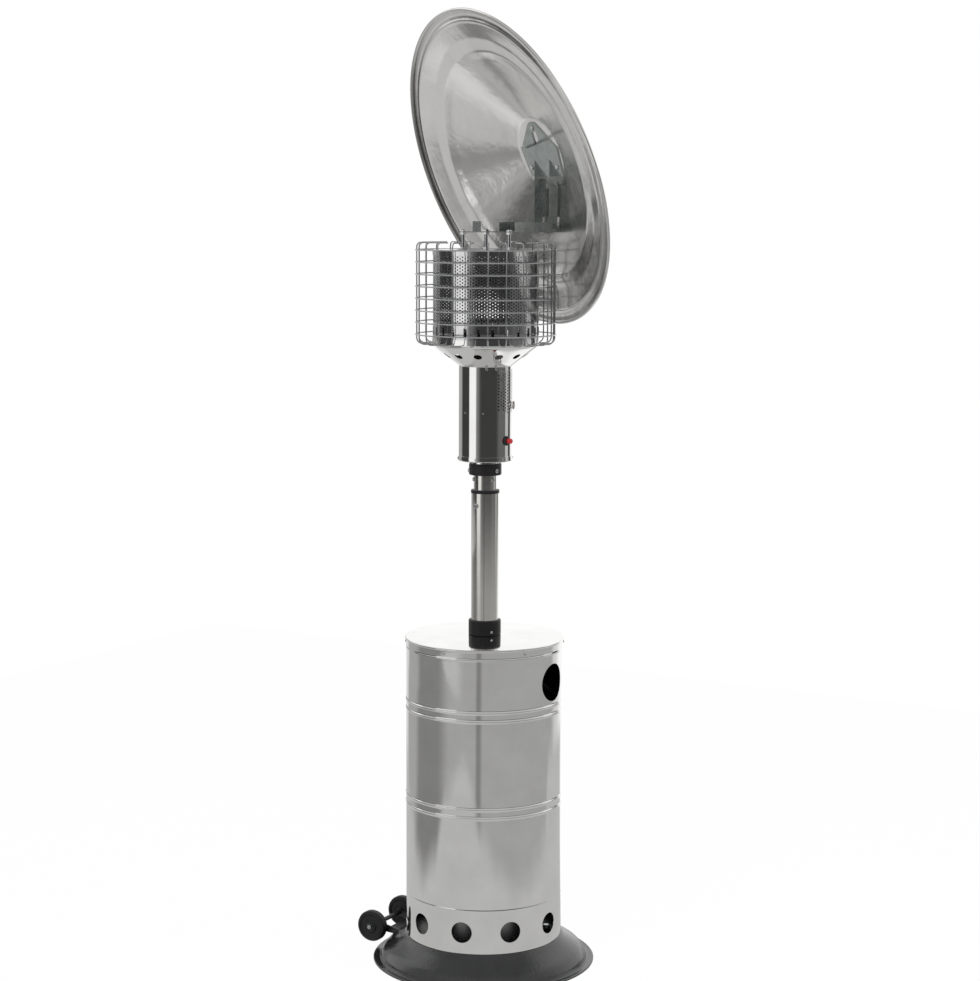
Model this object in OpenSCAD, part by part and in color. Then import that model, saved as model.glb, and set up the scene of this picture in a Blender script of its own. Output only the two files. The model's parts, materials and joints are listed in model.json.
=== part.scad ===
// Gas patio heater: a bottle barrel that lifts, a telescopic post, a burner head in a wire guard
// and a spun reflector that tilts on a hinge. The origin is on the floor, on the post's axis.
// The front, with the hand hole and the controls, is towards -Y and the wheels are towards +Y.
// Angles round the post are counted from the front, anticlockwise from above.

/* [Base] */
// Outer radius of the base pan
base_r = 246; // [235:1:280]
// Height of the flat rim above the floor
rim_h = 5; // [4:0.5:10]
// Width of the flat rim
rim_w = 16; // [10:1:24]
// Width of the hem rolled under the rim
hem_w = 6; // [4:1:9]
// Height of the ledge that the barrel stands on
seat_h = 61.4; // [50:0.2:90]
// Height of the bottle floor above that ledge
floor_rise = 4; // [2:0.5:12]
// Thickness of the base's sheet steel
base_t = 2; // [1.5:0.5:4]

/* [Wheels] */
// Radius of a wheel
wheel_r = 35; // [28:1:42]
// Width of a wheel
wheel_w = 22; // [16:1:30]
// Distance of each wheel's middle from the centre plane
wheel_x = 64; // [56:1:90]
// Height of the axle
axle_z = 47; // [44:1:60]
// Distance of the axle behind the base's rim
axle_back = 8; // [4:1:30]
// Radius of the axle
axle_r = 5; // [4:0.5:7]

/* [Barrel] */
// Outer radius of the barrel
barrel_r = 172.3; // [160:0.1:180]
// Height of the barrel's shell
barrel_h = 667.4; // [600:0.2:760]
// Thickness of the stainless sheet of the barrel and its lid
sheet_t = 0.8; // [0.6:0.1:1.5]
// Height of the rolled ridges above the shell
ridge_h = 1.1; // [0.8:0.1:3]
// Width of a rolled ridge
ridge_w = 9; // [6:0.5:12]
// Distance between the two ridges of a pair
ridge_gap = 19; // [14:1:30]
// Number of vent holes near the bottom
vent_count = 10; // [6:1:14]
// Radius of a vent hole
vent_r = 23; // [12:1:30]
// Height of the vent holes above the barrel's lower edge
vent_z = 47; // [34:1:80]
// Radius of the two hand holes
hand_r = 41; // [30:1:50]
// Distance of the hand holes below the barrel's top
hand_drop = 85; // [75:1:110]
// Distance that the lid's rim stands out past the shell
lid_lip = 2.7; // [2:0.1:6]
// Depth of the lid's skirt
lid_skirt = 17; // [14:1:30]
// Rise of the lid's dome
lid_dome = 3.8; // [1:0.2:10]
// Height of the collar that guides the barrel on the post
barrel_collar_h = 33.5; // [20:0.5:60]
// Outer radius of the black collars
collar_r = 35.5; // [34:0.5:42]

/* [Post] */
// Outer radius of the lower post
post_r = 30.15; // [29:0.05:31.5]
// Wall of both post tubes
post_t = 1.5; // [1:0.1:2.5]
// Length of the lower post
post_l = 363; // [300:1:420]
// Outer radius of the upper post
inner_r = 25; // [23:0.1:25.5]
// Length of upper post that shows between the two collars
inner_show = 33; // [26:1:60]
// Height of the black ring that caps the lower post
ring_h = 7; // [5:0.5:14]
// Height of the clamp collar under the head
top_collar_h = 25; // [18:1:40]
// Distance of the post's socket below the barrel's top
socket_drop = 45; // [42:1:60]

/* [Head] */
// Outer radius of the head housing
housing_r = 58; // [54:0.5:64]
// Height of the head housing
housing_h = 204.7; // [190:0.1:240]
// Thickness of the housing's sheet
housing_t = 1; // [0.8:0.1:1.6]
// Height of the neck between the clamp collar and the housing
neck_h = 6; // [5:0.5:16]
// Height of the vent panel's holes
panel_h = 90; // [70:1:100]
// Radius of a vent panel hole
panel_hole_r = 2; // [1.5:0.1:2.2]
// Height of the control knob above the housing's lower edge
knob_z = 120.8; // [108:0.2:126]
// Height of the igniter above the housing's lower edge
igniter_z = 45.2; // [28:0.2:60]
// Radius of the igniter button
button_r = 5.75; // [5:0.25:6.5]
// Travel of the igniter button
button_travel = 4; // [2:0.5:6]

/* [Burner] */
// Outer radius of the burner bowl
bowl_r = 116; // [112:1:125]
// Height of the burner bowl
bowl_h = 61; // [54:1:80]
// Height of the emitter screen
screen_h = 199; // [180:1:240]
// Radius of the emitter screen
screen_r = 114.5; // [108:0.5:114.5]
// Thickness of the emitter screen
screen_t = 0.8; // [0.6:0.1:1.2]
// Holes in one row of the emitter screen
screen_columns = 36; // [24:2:40]
// Rows of holes in the emitter screen
screen_rows = 10; // [6:1:11]
// Radius of an emitter screen hole
screen_hole_r = 3.5; // [2:0.1:4]
// Depth of the skirt of the emitter's cap
cap_skirt = 12; // [8:1:18]

/* [Guard] */
// Radius of the guard's rings, to the middle of the wire
guard_r = 152.5; // [140:0.5:158]
// Radius of the guard's wire
wire_r = 1.5; // [1:0.1:2]
// Number of rings
guard_rings_count = 8; // [5:1:10]
// Number of upright wires
guard_wires_count = 24; // [12:1:30]
// Bend radius of the upright wires
wire_bend = 9; // [6:0.5:12]

/* [Hinge] */
// Angle of the reflector's hinge from the front
hinge_angle = 60.4; // [0:0.2:360]
// Distance of the hinge pin from the post's axis
hinge_s = 150; // [148:0.5:156]
// Height of the hinge pin above the hinge frame's underside
hinge_rise = 13; // [12:0.5:16]
// Height of the hinge frame above the emitter's cap
stud_h = 37; // [30:1:50]
// Width of the hinge frame's channel
channel_w = 67; // [56:1:80]
// Height of the channel's walls
channel_h = 21.5; // [20:0.5:24]
// Radius of the hinge pin
pin_r = 4; // [3:0.25:5]

/* [Reflector] */
// Outer radius of the reflector
reflector_r = 359; // [330:1:420]
// Depth of the reflector from rim to hub
reflector_h = 99.4; // [90:0.2:110]
// Radius of the reflector's flat hub
hub_r = 82; // [80:1:90]
// Thickness of the spun aluminium
reflector_t = 1; // [0.8:0.1:2]
// Radius of the rim's rolled bead
bead_r = 4; // [3:0.25:6]
// Height of the hub above the hinge pin when the reflector is closed
hub_rise = 44.5; // [42:0.5:50]
// Angle that the reflector is tipped up from its closed place
open_angle = 69; // [40:0.2:69]

/* [Hidden] */
$fn = 96;

// Clearances and the overrun of cuts
rest_gap = 0.3;
touch_gap = 0.1;
run_gap = 0.05;
hole_gap = 0.2;
overrun = 2;

// Base, worked out
spigot_r = barrel_r - 3 * sheet_t - touch_gap;
seat_r = barrel_r + lid_lip;
floor_z = seat_h + floor_rise;
cone_shares = [[0.945, 0.16], [0.73, 0.44]];

// Wheel bracket and axle
bracket_t = 2.5;
ear_gap = 3;
boss_r = 8.5;
ear_drop_share = 0.9;
ear_x = wheel_x - wheel_w / 2 - ear_gap;
axle_y = base_r + axle_back;
axle_head_r = 6;
axle_head_h = 4;
washer_r = 9;
washer_t = 1.5;
hub_radius_share = 0.36;
tread_round_share = 0.16;
face_recess_share = 0.14;
rim_radius_share = 0.8;

// Barrel, worked out
barrel_z = seat_h + rest_gap;
barrel_top = barrel_z + barrel_h;
ridge_pair_shares = [0.4645, 0.7814];
top_ridge_drop = 21;
low_ridge_z = 96;
low_ridge_h = 0.5;
vent_start = -4;
lid_z = barrel_top + touch_gap;
lid_flat_r = collar_r + 8;
lid_hole_r = post_r + 1;
lid_top = lid_z + sheet_t + lid_dome;
lid_roll = 3;
skirt_r = barrel_r + touch_gap + sheet_t;
lid_screw_count = 6;
lid_screw_start = -30;
lid_screw_drop = 11;
small_head_r = 3;
small_head_h = 1.8;
small_shank_r = 1.5;
barrel_collar_top = lid_top + barrel_collar_h;
collar_edge = 1.5;
collar_screw_angle = -35;

// Post, worked out
socket_t = 4;
socket_wall = 3;
socket_r = 75;
socket_z = barrel_top - socket_drop;
socket_tube_h = socket_drop - 6;
hose_hole_r = 14;
post_top = socket_z + post_l;
post_bore = post_r - post_t;
ring_lip = 1;
ring_sleeve = 44;
height_screw_angle = -100;
height_screw_drop = 27;
height_head_r = 5.5;
height_head_h = 3;
height_shank_r = 3;
inner_z = socket_z + rest_gap;
collar_z = post_top + ring_h + inner_show;
collar_top = collar_z + top_collar_h;
guide_h = 20;
mast_screw_count = 3;
post_screw_angle = -20;
post_screw_drop = 10;
collar_screws_angle = -16;
medium_head_r = 4.5;
medium_head_h = 3;
medium_shank_r = 2.5;

// Legs, worked out
leg_count = 3;
leg_start = 30;
leg_w = 30;
leg_t = 4;
leg_gap = 11;
leg_r = barrel_r - sheet_t - leg_gap;
leg_foot = 32;
leg_knee_drop = 80;
leg_tab = 30;
bolt_r = 4;
bolt_head_r = 7.5;
bolt_head_h = 5;
nut_h = 6;
foot_bolt_r = leg_r - leg_t - leg_foot / 2;
top_bolt_r = socket_r - leg_tab / 2;

// Head, worked out
neck_r = 31;
housing_base_t = 1.2;
housing_base_lip = 11;
housing_base_round = 2.2;
housing_base_r = housing_r + housing_base_t + touch_gap;
housing_floor = collar_top + neck_h;
housing_z = housing_floor + housing_base_t + touch_gap;
housing_top = housing_z + housing_h;
housing_screw_count = 6;
housing_screw_start = -20;
housing_screw_rise = 6;
panel_angle = 16;
panel_half_angle = 46.5;
panel_columns = 16;
panel_rows = 14;
panel_top_gap = 8;
knob_angle = 17;
knob_r = 9;
knob_t = 5;
knob_off = 0.5;
stem_r = 2.5;
stem_hole_r = 6;
igniter_angle = -9;
bezel_r = 10.5;
bezel_h = 6;
bezel_wall = 2.2;
igniter_barrel_r = button_r + run_gap + bezel_wall;
igniter_body_l = 26;
button_out = 15;
button_in = 8;
shelf_drop = 11.5;
shelf_t = 1.5;
shelf_flange = 8;
shelf_z = housing_z + knob_z - shelf_drop;
rivet_angles = [-109, -65, 71, 115];
rivet_r = 2;
rivet_h = 1;
valve_w = 26;
valve_l = 38;
valve_h = 2 * shelf_drop - 2 * shelf_t;
valve_port_r = 7;
valve_port_h = 14;
inlet_h = 18;
nozzle_r = 6;
nozzle_h = 16;

// Burner, worked out
bowl_t = 1;
bowl_z = housing_top;
bowl_top = bowl_z + bowl_h;
bowl_neck_r = housing_r - housing_t - touch_gap;
bowl_neck_h = 12;
bowl_shares = [[0.02, 0.04], [0.92, 0.69], [0.985, 0.75], [1, 0.82]];
bowl_hole_r = 9;
bowl_hole_count = 12;
bowl_hole_start = -11;
bowl_hole_share = 0.59;
bowl_screw_angles = [-58, -36, 122, 144];
bowl_screw_drop = 3.5;
plate_t = 1.2;
plate_hole_r = 6;
plate_hole_count = 12;
plate_hole_share = 0.82;
plate_rim = 3;
mixer_r = 15;
mixer_throat_share = 0.7;
mixer_t = 1.5;
mixer_flare = 5;
mixer_z = shelf_z + shelf_t + valve_h + valve_port_h;
burner_r = 52;
burner_h = 30;
burner_t = 2;
burner_slots = 24;
burner_slot_w = 3;
burner_slot_h = 16;
probe_r = 2.2;
electrode_r = 1.5;
probe_h = 46;
probe_gap = 9;
probe_angle = 17;
screen_z = bowl_top - 12;
screen_top = screen_z + screen_h;
plate_r = screen_r - screen_t - touch_gap;
plate_z = screen_z;
slot_count = 24;
slot_w = 4.8;
slot_h = 19;
slot_rise = 6;
screen_first_row = 46;
screen_last_drop = 22;
cap_t = 1;
cap_round = 3;
cap_r = screen_r + touch_gap + cap_t;
cap_top = screen_top + touch_gap + cap_round;

// Guard, worked out
guard_head_z = cap_top + 15;
guard_foot_z = bowl_top - 12.6;
ring_head_gap = 16;
ring_foot_gap = 20.6;
wire_track = guard_r - 2 * wire_r - touch_gap;
wire_start = 2;
wire_foot_end = bowl_r + touch_gap;
wire_head_end = cap_r + 3;

// Hinge, worked out
frame_z = cap_top + stud_h;
frame_t = 1.5;
hinge_z = frame_z + hinge_rise;
stud_circle = 57;
stud_r = 4;
stud_pad_r = 13;
stud_nut_r = 7;
stud_nut_h = 5;
stud_lock_h = 3;
stud_tip = 1.5;
channel_front = 52;
channel_end = 8;
catch_s = -24;
catch_w = 34;
catch_h = 22;
pin_head_r = 6;
pin_head_h = 2.5;
eye_r = 10;

// Reflector bracket, worked out
hub_z = hinge_z + hub_rise;
bracket_plate_t = 2.5;
bracket_z = hub_z - touch_gap - bracket_plate_t;
bracket_screw_r = 60;
bracket_screw_head_r = 6;
arm_t = 2;
arm_gap = 0.4;
arm_y = channel_w / 2 - frame_t - arm_gap - arm_t / 2;
arm_half_w = 10;
arm_flange = 16;
arm_slope = 90 - open_angle;
hook_w = 20;
hook_l = 36;
hook_lead = 3;
catch_gap = 0.6;
lance_l = 24;
bracket_outline_shares = [[0.62, -0.78], [0.62, 0.78], [-0.15, 0.88], [-0.84, 0.18], [-0.88, 0.1],
    [-0.88, -0.1], [-0.84, -0.18], [-0.15, -0.88]];
arm_root_share = 0.15;
reflector_shares = [[0.9805, 0.0704], [0.9582, 0.0905], [0.9382, 0.0875], [0.9128, 0.0473],
    [0.7967, 0.2032], [0.7214, 0.2183], [0.6643, 0.329]];

// Turns its children to an angle from the front, pointing along +X
module radial(angle) rotate([0, 0, angle - 90]) children();

// Turns its children to an angle from the front, with their +Z pointing outwards
module facing(angle, height) rotate([0, 0, angle]) translate([0, 0, height]) rotate([90, 0, 0]) children();

// Repeats its children evenly round the post
module around(count, start) for (i = [0 : count - 1]) rotate([0, 0, start + i * 360 / count]) children();

// Stands a flat outline upright: its x stays, its y becomes the height
module upright(width) rotate([90, 0, 0]) linear_extrude(width, center = true) children();

// A round bar or disc that stands outwards from a radius
module stub(from, length, radius) translate([0, 0, from]) cylinder(h = length, r = radius);

module tube(height, outer, inner) rotate_extrude()
    polygon([[inner, 0], [outer, 0], [outer, height], [inner, height]]);

// A round-headed screw whose head sits on the plane z = 0 and whose shank goes down
module screw(head_r, head_h, shank_r, shank_l) rotate_extrude()
    polygon([[0, -shank_l], [shank_r, -shank_l], [shank_r, 0], [head_r, 0], [head_r, head_h / 2],
        [0.7 * head_r, head_h], [0, head_h]]);

// Outer line of the base pan from the rim up to the bottle floor
function cone_point(share) = [seat_r + (base_r - rim_w - seat_r) * share[0],
    rim_h + (seat_h - rim_h) * share[1]];
function base_line() = concat([[base_r, rim_h], [base_r - rim_w, rim_h]],
    [for (share = cone_shares) cone_point(share)], [[seat_r, seat_h]]);
function reversed(list) = [for (i = [len(list) - 1 : -1 : 0]) list[i]];

module base_solid(grow) rotate_extrude()
    polygon(concat([[0, -overrun], [base_r + grow, -overrun]],
        [for (p = base_line()) [p[0] + grow, p[1] + grow]],
        [[spigot_r, seat_h + grow], [spigot_r, floor_z + grow], [0, floor_z + grow]]));

module base_pan() color("#3a3b3d") difference() {
    rotate_extrude() polygon(concat(
        [[base_r - hem_w, rim_h - base_t], [base_r - hem_w, 0], [base_r, 0]],
        base_line(),
        [[spigot_r, seat_h], [spigot_r, floor_z], [0, floor_z], [0, floor_z - base_t],
            [spigot_r - base_t, floor_z - base_t], [spigot_r - base_t, seat_h - base_t]],
        reversed([for (i = [1 : len(cone_shares) + 2]) base_line()[i] - [base_t / 2, base_t]])));
    around(leg_count, leg_start) radial(0) translate([foot_bolt_r, 0, floor_z - base_t - overrun])
        cylinder(h = base_t + 2 * overrun, r = bolt_r + hole_gap);
}

// One side of the wheel bracket, drawn in depth and height
module ear_outline() {
    polygon([[seat_r, axle_z - ear_drop_share * boss_r], [axle_y, axle_z + boss_r],
        [axle_y, axle_z - boss_r], [base_r - rim_w, axle_z - 1.6 * boss_r], [seat_r, axle_z - 2 * boss_r]]);
    translate([axle_y, axle_z]) circle(boss_r);
}

module wheel_bracket() color("#1b1b1c") difference() {
    union() {
        for (side = [-1, 1]) translate([side * (ear_x - bracket_t / 2), 0, 0])
            rotate([90, 0, 90]) linear_extrude(bracket_t, center = true) ear_outline();
        translate([-ear_x, seat_r, axle_z - boss_r - bracket_t])
            cube([2 * ear_x, base_r - rim_w - seat_r, bracket_t]);
    }
    base_solid(touch_gap);
    translate([0, axle_y, axle_z]) rotate([0, 90, 0])
        cylinder(h = 2 * ear_x + 2 * overrun, r = axle_r + hole_gap, center = true);
}

module wheel_axle() color("#c9cbcc") translate([0, axle_y, axle_z]) rotate([0, 90, 0]) {
    cylinder(h = 2 * wheel_x + wheel_w + 2 * washer_t, r = axle_r, center = true);
    for (side = [-1, 1]) {
        translate([0, 0, side * (ear_x + washer_t / 2 + touch_gap)])
            cylinder(h = washer_t, r = washer_r, center = true);
        translate([0, 0, side * (wheel_x + wheel_w / 2 + rest_gap + washer_t / 2)])
            cylinder(h = washer_t, r = washer_r, center = true);
        translate([0, 0, side * (wheel_x + wheel_w / 2 + rest_gap + washer_t + axle_head_h / 2)])
            cylinder(h = axle_head_h, r = axle_head_r, center = true);
    }
}

// A moulded wheel with a rounded tread and a dished face, about the z axis
module wheel() rotate_extrude() {
    half = wheel_w / 2;
    soft = tread_round_share * wheel_r;
    dish = face_recess_share * wheel_w;
    polygon([[axle_r + run_gap, -half], [hub_radius_share * wheel_r, -half],
        [hub_radius_share * wheel_r + dish, -half + dish], [rim_radius_share * wheel_r - dish, -half + dish],
        [rim_radius_share * wheel_r, -half], [wheel_r - soft, -half], [wheel_r - 0.3 * soft, -half + 0.3 * soft],
        [wheel_r, -half + soft], [wheel_r, half - soft], [wheel_r - 0.3 * soft, half - 0.3 * soft],
        [wheel_r - soft, half], [rim_radius_share * wheel_r, half],
        [rim_radius_share * wheel_r - dish, half - dish], [hub_radius_share * wheel_r + dish, half - dish],
        [hub_radius_share * wheel_r, half], [axle_r + run_gap, half]]);
}

module wheel_at(side) color("#161617") translate([side * wheel_x, axle_y, axle_z]) rotate([0, 90, 0]) wheel();
module left_wheel() wheel_at(-1);
module right_wheel() wheel_at(1);

// One bent leg, drawn in radius and height
module leg_outline() {
    top = socket_z - socket_t - touch_gap;
    knee = top - leg_knee_drop;
    lean = atan((leg_r - socket_r) / leg_knee_drop);
    polygon([[leg_r - leg_t - leg_foot, floor_z], [leg_r, floor_z], [leg_r, knee], [socket_r, top],
        [socket_r - leg_tab, top], [socket_r - leg_tab, top - leg_t],
        [socket_r - leg_t * tan((90 - lean) / 2), top - leg_t],
        [leg_r - leg_t, knee - leg_t * tan(lean / 2)], [leg_r - leg_t, floor_z + leg_t],
        [leg_r - leg_t - leg_foot, floor_z + leg_t]]);
}

module support_legs() color("#2a2a2b") around(leg_count, leg_start) radial(0) difference() {
    upright(leg_w) leg_outline();
    translate([foot_bolt_r, 0, floor_z - overrun]) cylinder(h = leg_t + 2 * overrun, r = bolt_r + hole_gap);
    translate([top_bolt_r, 0, socket_z - socket_t - leg_t - touch_gap - overrun])
        cylinder(h = leg_t + 2 * overrun, r = bolt_r + hole_gap);
}

// A hexagon bolt through a stack, with its nut underneath and the head's seat at z = 0
module bolt(stack) {
    cylinder(h = bolt_head_h, r = bolt_head_r, $fn = 6);
    translate([0, 0, -stack - nut_h]) cylinder(h = stack + nut_h, r = bolt_r);
    translate([0, 0, -stack - nut_h]) cylinder(h = nut_h, r = bolt_head_r, $fn = 6);
}

module leg_bolts() color("#b9bbbc") around(leg_count, leg_start) radial(0) {
    translate([foot_bolt_r, 0, floor_z + leg_t]) bolt(leg_t + base_t);
    translate([top_bolt_r, 0, socket_z]) bolt(socket_t + leg_t + touch_gap);
}

module post_socket() color("#2a2a2b") difference() {
    translate([0, 0, socket_z - socket_t]) rotate_extrude() polygon([
        [hose_hole_r, 0], [socket_r, 0], [socket_r, socket_t],
        [post_r + touch_gap + 2 * socket_wall, socket_t],
        [post_r + touch_gap + socket_wall, socket_t + socket_wall],
        [post_r + touch_gap + socket_wall, socket_t + socket_tube_h],
        [post_r + touch_gap, socket_t + socket_tube_h], [post_r + touch_gap, socket_t],
        [hose_hole_r, socket_t]]);
    around(leg_count, leg_start) radial(0) translate([top_bolt_r, 0, socket_z - socket_t - overrun])
        cylinder(h = socket_t + 2 * overrun, r = bolt_r + hole_gap);
}

module lower_post() color("#9a9a98") difference() {
    translate([0, 0, socket_z]) tube(post_l, post_r, post_bore);
    facing(height_screw_angle, post_top - height_screw_drop) stub(inner_r, 2 * post_t + post_r - inner_r,
        height_shank_r + hole_gap);
}

// The black ring on the lower post's end, with the sleeve inside that guides the upper post
module post_cap_ring() color("#141414") difference() {
    translate([0, 0, post_top]) rotate_extrude() polygon([
        [inner_r + run_gap, -ring_sleeve], [post_bore - touch_gap, -ring_sleeve],
        [post_bore - touch_gap, touch_gap], [post_r + ring_lip, touch_gap],
        [post_r + ring_lip, ring_h - ring_lip], [post_r, ring_h], [inner_r + run_gap, ring_h]]);
    facing(height_screw_angle, post_top - height_screw_drop) stub(0, post_bore, height_shank_r + hole_gap);
}

module height_screw() color("#6f7072") facing(height_screw_angle, post_top - height_screw_drop) {
    translate([0, 0, post_r + touch_gap]) difference() {
        screw(height_head_r, height_head_h, height_shank_r, post_r - inner_r + touch_gap - rest_gap);
        translate([0, 0, height_head_h / 2]) cylinder(h = height_head_h, r = height_shank_r, $fn = 6);
    }
}

// Outer line of the barrel from its lower edge to its top, with the rolled ridges
function ridge(z, height) = [[0, z - ridge_w / 2], [height, z - ridge_w / 6], [height, z + ridge_w / 6],
    [0, z + ridge_w / 2]];
function ridge_line() = concat(ridge(low_ridge_z, low_ridge_h),
    [for (share = ridge_pair_shares) for (side = [-1, 1])
        for (p = ridge(share * barrel_h + side * ridge_gap / 2, ridge_h)) p],
    ridge(barrel_h - top_ridge_drop, ridge_h / 2));
function barrel_line(radius) = concat([[radius, 0]], [for (p = ridge_line()) [radius + p[0], p[1]]],
    [[radius, barrel_h]]);

module barrel_shell() color("#b8b9ba") translate([0, 0, barrel_z]) difference() {
    rotate_extrude() polygon(concat(barrel_line(barrel_r), reversed(barrel_line(barrel_r - sheet_t))));
    around(vent_count, vent_start) facing(0, vent_z) stub(barrel_r - 10 * sheet_t, 20 * sheet_t, vent_r);
    around(2, 0) facing(0, barrel_h - hand_drop) stub(barrel_r - 20 * sheet_t, 40 * sheet_t, hand_r);
    around(lid_screw_count, lid_screw_start) facing(0, barrel_h - lid_screw_drop)
        stub(barrel_r - 5 * sheet_t, 10 * sheet_t, small_shank_r + hole_gap);
}

module barrel_lid() color("#c4c5c6") difference() {
    translate([0, 0, lid_z]) rotate_extrude() polygon([
        [lid_hole_r, lid_dome], [lid_flat_r, lid_dome], [barrel_r - lid_roll, 0],
        [barrel_r + lid_lip - 2 * sheet_t, 0], [barrel_r + lid_lip - sheet_t, -sheet_t],
        [barrel_r + lid_lip - sheet_t, -lid_roll], [skirt_r - sheet_t, -2 * lid_roll],
        [skirt_r - sheet_t, -lid_skirt], [skirt_r, -lid_skirt], [skirt_r, -2 * lid_roll],
        [barrel_r + lid_lip, -lid_roll], [barrel_r + lid_lip, -sheet_t / 2],
        [barrel_r + lid_lip - 1.5 * sheet_t, sheet_t], [barrel_r - lid_roll, sheet_t],
        [lid_flat_r, lid_dome + sheet_t], [lid_hole_r, lid_dome + sheet_t]]);
    around(lid_screw_count, lid_screw_start) facing(0, barrel_top - lid_screw_drop)
        stub(barrel_r - 5 * sheet_t, 10 * sheet_t, small_shank_r + hole_gap);
}

module lid_screws() color("#8f9091") around(lid_screw_count, lid_screw_start)
    facing(0, barrel_top - lid_screw_drop) translate([0, 0, skirt_r + run_gap])
        screw(small_head_r, small_head_h, small_shank_r, 4 * sheet_t);

// A black collar with softened edges and a bore for a post
module collar(height, bore) rotate_extrude() polygon([[bore, 0], [collar_r - collar_edge, 0],
    [collar_r, collar_edge], [collar_r, height - collar_edge], [collar_r - collar_edge, height], [bore, height]]);

module barrel_collar() color("#161617") difference() {
    translate([0, 0, lid_top]) collar(barrel_collar_h, post_r + run_gap);
    facing(collar_screw_angle, lid_top + 0.27 * barrel_collar_h)
        stub(post_r - post_t, collar_r, medium_shank_r + hole_gap);
}

module barrel_collar_screw() color("#8f9091") facing(collar_screw_angle, lid_top + 0.27 * barrel_collar_h)
    translate([0, 0, collar_r + touch_gap])
        screw(small_head_r, small_head_h, medium_shank_r, collar_r - post_r - rest_gap);

module upper_post() color("#9a9a98") difference() {
    translate([0, 0, inner_z]) tube(housing_z + overrun - inner_z, inner_r, inner_r - post_t);
    around(mast_screw_count, post_screw_angle) facing(0, collar_z - post_screw_drop)
        stub(inner_r - 2 * post_t, 4 * post_t, medium_shank_r + hole_gap);
    around(mast_screw_count, collar_screws_angle) facing(0, collar_z + 0.4 * top_collar_h)
        stub(inner_r - 2 * post_t, 4 * post_t, medium_shank_r + hole_gap);
}

module post_guide_ring() color("#d8d8d4") translate([0, 0, inner_z])
    tube(guide_h, post_bore - run_gap, inner_r + run_gap);

module upper_post_screws() color("#1b1b1c") around(mast_screw_count, post_screw_angle)
    facing(0, collar_z - post_screw_drop) translate([0, 0, inner_r + touch_gap])
        screw(medium_head_r, medium_head_h, medium_shank_r, 2 * post_t);

module top_collar() color("#161617") difference() {
    translate([0, 0, collar_z]) collar(top_collar_h, inner_r + touch_gap);
    around(mast_screw_count, collar_screws_angle) facing(0, collar_z + 0.4 * top_collar_h)
        stub(inner_r - post_t, collar_r, medium_shank_r + hole_gap);
}

module top_collar_screws() color("#8f9091") around(mast_screw_count, collar_screws_angle)
    facing(0, collar_z + 0.4 * top_collar_h) translate([0, 0, collar_r + touch_gap])
        screw(medium_head_r, medium_head_h, medium_shank_r, collar_r - inner_r + 2 * post_t);

module housing_base() color("#a9aaab") difference() {
    translate([0, 0, collar_top + touch_gap]) rotate_extrude() polygon([
        [inner_r + touch_gap, 0], [neck_r, 0], [neck_r, neck_h - touch_gap],
        [housing_base_r - housing_base_round, neck_h - touch_gap],
        [housing_base_r - 0.5 * housing_base_round, neck_h - touch_gap + 0.134 * housing_base_round],
        [housing_base_r - 0.134 * housing_base_round, neck_h - touch_gap + 0.5 * housing_base_round],
        [housing_base_r, neck_h - touch_gap + housing_base_round],
        [housing_base_r, neck_h + housing_base_lip],
        [housing_base_r - housing_base_t, neck_h + housing_base_lip],
        [housing_base_r - housing_base_t, neck_h + housing_base_t - touch_gap],
        [inner_r + touch_gap, neck_h + housing_base_t - touch_gap]]);
    around(housing_screw_count, housing_screw_start) facing(0, housing_floor + housing_screw_rise)
        stub(housing_r - 3 * housing_t, 6 * housing_t, small_shank_r + hole_gap);
}

// The holes of the vent panel, in staggered columns on the round housing, clear of the knob's stem
module panel_holes() {
    step = 2 * panel_half_angle / (panel_columns - 1);
    rise = panel_h / (panel_rows - 0.5);
    clear = stem_hole_r + 2 * panel_hole_r;
    for (i = [0 : panel_columns - 1], j = [0 : panel_rows - 1]) {
        angle = panel_angle - panel_half_angle + i * step;
        height = housing_top - panel_top_gap - panel_h + (j + (i % 2) / 2) * rise;
        aside = housing_r * sin(angle - knob_angle);
        if (norm([aside, height - housing_z - knob_z]) > clear)
            facing(angle, height) stub(housing_r - 3 * housing_t, 5 * housing_t, panel_hole_r);
    }
}

module head_housing() color("#aeb0b1") difference() {
    translate([0, 0, housing_z]) tube(housing_h, housing_r, housing_r - housing_t);
    panel_holes();
    facing(knob_angle, housing_z + knob_z) stub(housing_r - 5 * housing_t, 10 * housing_t, stem_hole_r);
    facing(igniter_angle, housing_z + igniter_z)
        stub(housing_r - 5 * housing_t, 10 * housing_t, igniter_barrel_r + hole_gap);
    around(housing_screw_count, housing_screw_start) facing(0, housing_floor + housing_screw_rise)
        stub(housing_r - 3 * housing_t, 6 * housing_t, small_shank_r + hole_gap);
    for (angle = rivet_angles) facing(angle, shelf_z - shelf_flange / 2)
        stub(housing_r - 3 * housing_t, 6 * housing_t, small_shank_r + hole_gap);
    for (angle = bowl_screw_angles) facing(angle, housing_top - bowl_screw_drop)
        stub(housing_r - 3 * housing_t, 6 * housing_t, small_shank_r + hole_gap);
}

module housing_screws() color("#8f9091") around(housing_screw_count, housing_screw_start)
    facing(0, housing_floor + housing_screw_rise) translate([0, 0, housing_base_r + touch_gap])
        screw(small_head_r, small_head_h, small_shank_r, 4 * housing_t);

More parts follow.
